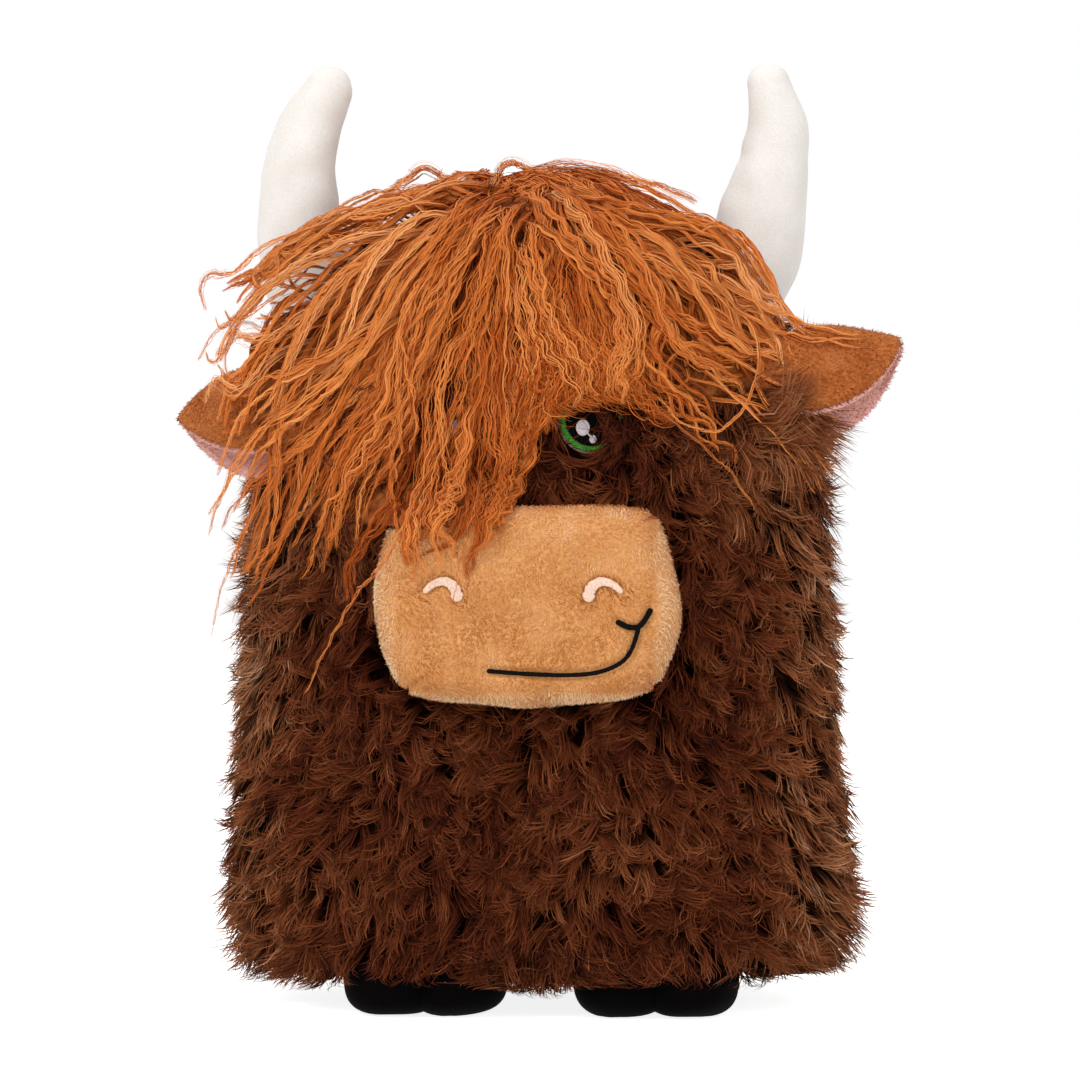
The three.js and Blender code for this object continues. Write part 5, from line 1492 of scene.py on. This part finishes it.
def makeFeet():
    velour = plushGround("black_smooth_velour", "#030202", "#080606", 0.0, 1400.0, 0.2)
    lean, turn = np.meshgrid(np.linspace(-np.pi / 2, np.pi / 2, 37), circle(56), indexing="ij")
    ball = np.stack([np.cos(lean) * np.cos(turn), np.cos(lean) * np.sin(turn), np.sin(lean)], -1)
    ball /= (np.abs(ball) ** hoofs["squareness"]).sum(-1, keepdims=True) ** (1 / hoofs["squareness"])
    for end, way in (("front", -1), ("rear", 1)):
        for side, sign in sides.items():
            toes = []
            for offset in (-1, 1):
                toe = ball * [hoofs["toeWidth"] / 2, hoofs["depth"] / 2, hoofs["height"] / 2]
                toe = toe + [sign * hoofs["spread"][side] + offset * hoofs["toeSpacing"] / 2,
                             way * hoofs["setback"], hoofs["height"] / 2 - hoofs["soleCut"]]
                toe = toe + unit(ball) * (0.5 * waviness(toe, 24, 45))[..., None]
                toe[..., 2] = np.maximum(toe[..., 2], 0)  # the sole is flat on the floor
                toes.append(toe)
            title = f"hoof_{end}_{side}"
            piece = gridPiece(f"{title}_velour", toes[0], velour, extra=toes[1:])
            settle(piece, "body", "black_plush", f"{title}_cover", f"{title}_stuffing")


makeFeet()
print("feet made")


# Tail: a furry tube that hangs from its seam, and a tuft of wavy locks below its knot

tail = {
    "hinge": (0, 84.946, 121.908), "tilt": 6, "radii": (7, 5.5), "length": 60,
    "lengths": (11, 16), "fibres": 2600, "perClump": 12, "goldenTurn": 2.39996, "backingShare": 0.62,
    "tuftHinge": (0, 91.719, 57.463), "tuftLength": 46, "tuftRadius": 8.5, "tuftLocks": 30,
    "tuftStrands": 22, "lockRadius": 1.6, "wave": 1.7, "waveLength": 12,
}


# The tube's backing and its fur, which falls in clumps as the body's does
def makeTail(draw, down, back, side):
    hinge = np.array(tail["hinge"]) - toyMiddle / mm
    share = np.linspace(0, 1, 30)
    radius = (tail["radii"][0] + (tail["radii"][1] - tail["radii"][0]) * share) * tail["backingShare"]
    radius = radius * np.sqrt(np.clip(1 - (2 * np.abs(share - 0.5)) ** 8, 0, 1))
    turns = circle(32)
    around = np.cos(turns)[:, None] * side + np.sin(turns)[:, None] * back
    drop = -4 + (tail["length"] + 3) * share
    grid = hinge + drop[:, None, None] * down + around * radius[:, None, None]
    piece = gridPiece("tail_backing", grid, backingMaterial("brown_tail_backing", "#241009", "#3a1d12"))
    settle(piece, "tail", "brown_fur", "tail_tube")
    number = np.arange(tail["fibres"])
    place, turn = (number + 0.5) / tail["fibres"], number * tail["goldenTurn"]
    normals = np.cos(turn)[:, None] * side + np.sin(turn)[:, None] * back
    roots = hinge + ((-3 + tail["length"] * place)[:, None] * down
                     + normals * (tail["radii"][0] * 0.55 - place * 0.8)[:, None])
    paths, outward, _ = clumpedFibres(roots, normals, roots[::tail["perClump"]], 30, tail["lengths"], 47)
    hue = draw.normal(0.5, 0.14, len(paths))
    piece = strandPiece("tail_fur", paths, outward, np.full(len(paths), 0.4), hue, brownFibre, 49)
    settle(piece, "tail", "brown_fur")


# The tuft: a tassel of wavy locks that start on the knot, swell and end in ragged points
def makeTuft(draw, down, back, side):
    hinge = np.array(tail["tuftHinge"]) - toyMiddle / mm
    count, steps = tail["tuftLocks"], 26
    share = np.linspace(0, 1, steps)
    turn = np.arange(count) * tail["goldenTurn"]
    reach = np.sqrt((np.arange(count) + 0.5) / count)[:, None]
    swell = np.sin(np.pi * (0.7 * share + 0.08))
    length = tail["tuftLength"] * draw.uniform(0.6, 1, (count, 1)) * (1 - 0.1 * reach)
    away = tail["tuftRadius"] * reach * swell
    spread = np.cos(turn)[:, None] * side + 0.7 * np.sin(turn)[:, None] * back
    centres = hinge + (length * share - 2)[..., None] * down + spread[:, None] * away[..., None]
    phase = draw.uniform(0, 6, (count, 1))
    wave = tail["wave"] * np.sin(2 * np.pi * share * length / tail["waveLength"] + phase)
    wave = wave * easeBetween(share, 0, 0.5)
    centres = centres + np.cross(down, spread)[:, None] * wave[..., None]
    outward = np.broadcast_to(unit(spread)[:, None], centres.shape)
    radii = tail["lockRadius"] * (1 - 0.85 * share ** 1.6) * np.ones((count, 1))
    wanted = {**forelock["strands"], "strands": tail["tuftStrands"]}
    paths, outward, _ = strandsOfLocks(centres, outward, radii, wanted, 50)
    hue = np.repeat(draw.normal(0.46, 0.2, count), tail["tuftStrands"]) + draw.normal(0, 0.06, len(paths))
    piece = strandPiece("tail_tuft_locks", paths, outward, np.full(len(paths), 0.34), hue, gingerFibre, 58)
    settle(piece, "tuft", "ginger_fur", "tail_tuft")


# Tail and tuft share one row of random numbers and the ways down, away from the back and sideways
tailDraw = np.random.default_rng(46)
tilt = np.radians(tail["tilt"])
tailWays = np.array([[0, np.sin(tilt), -np.cos(tilt)], [0, np.cos(tilt), np.sin(tilt)], [1.0, 0, 0]])
makeTail(tailDraw, *tailWays)
makeTuft(tailDraw, *tailWays)
print("tail made")
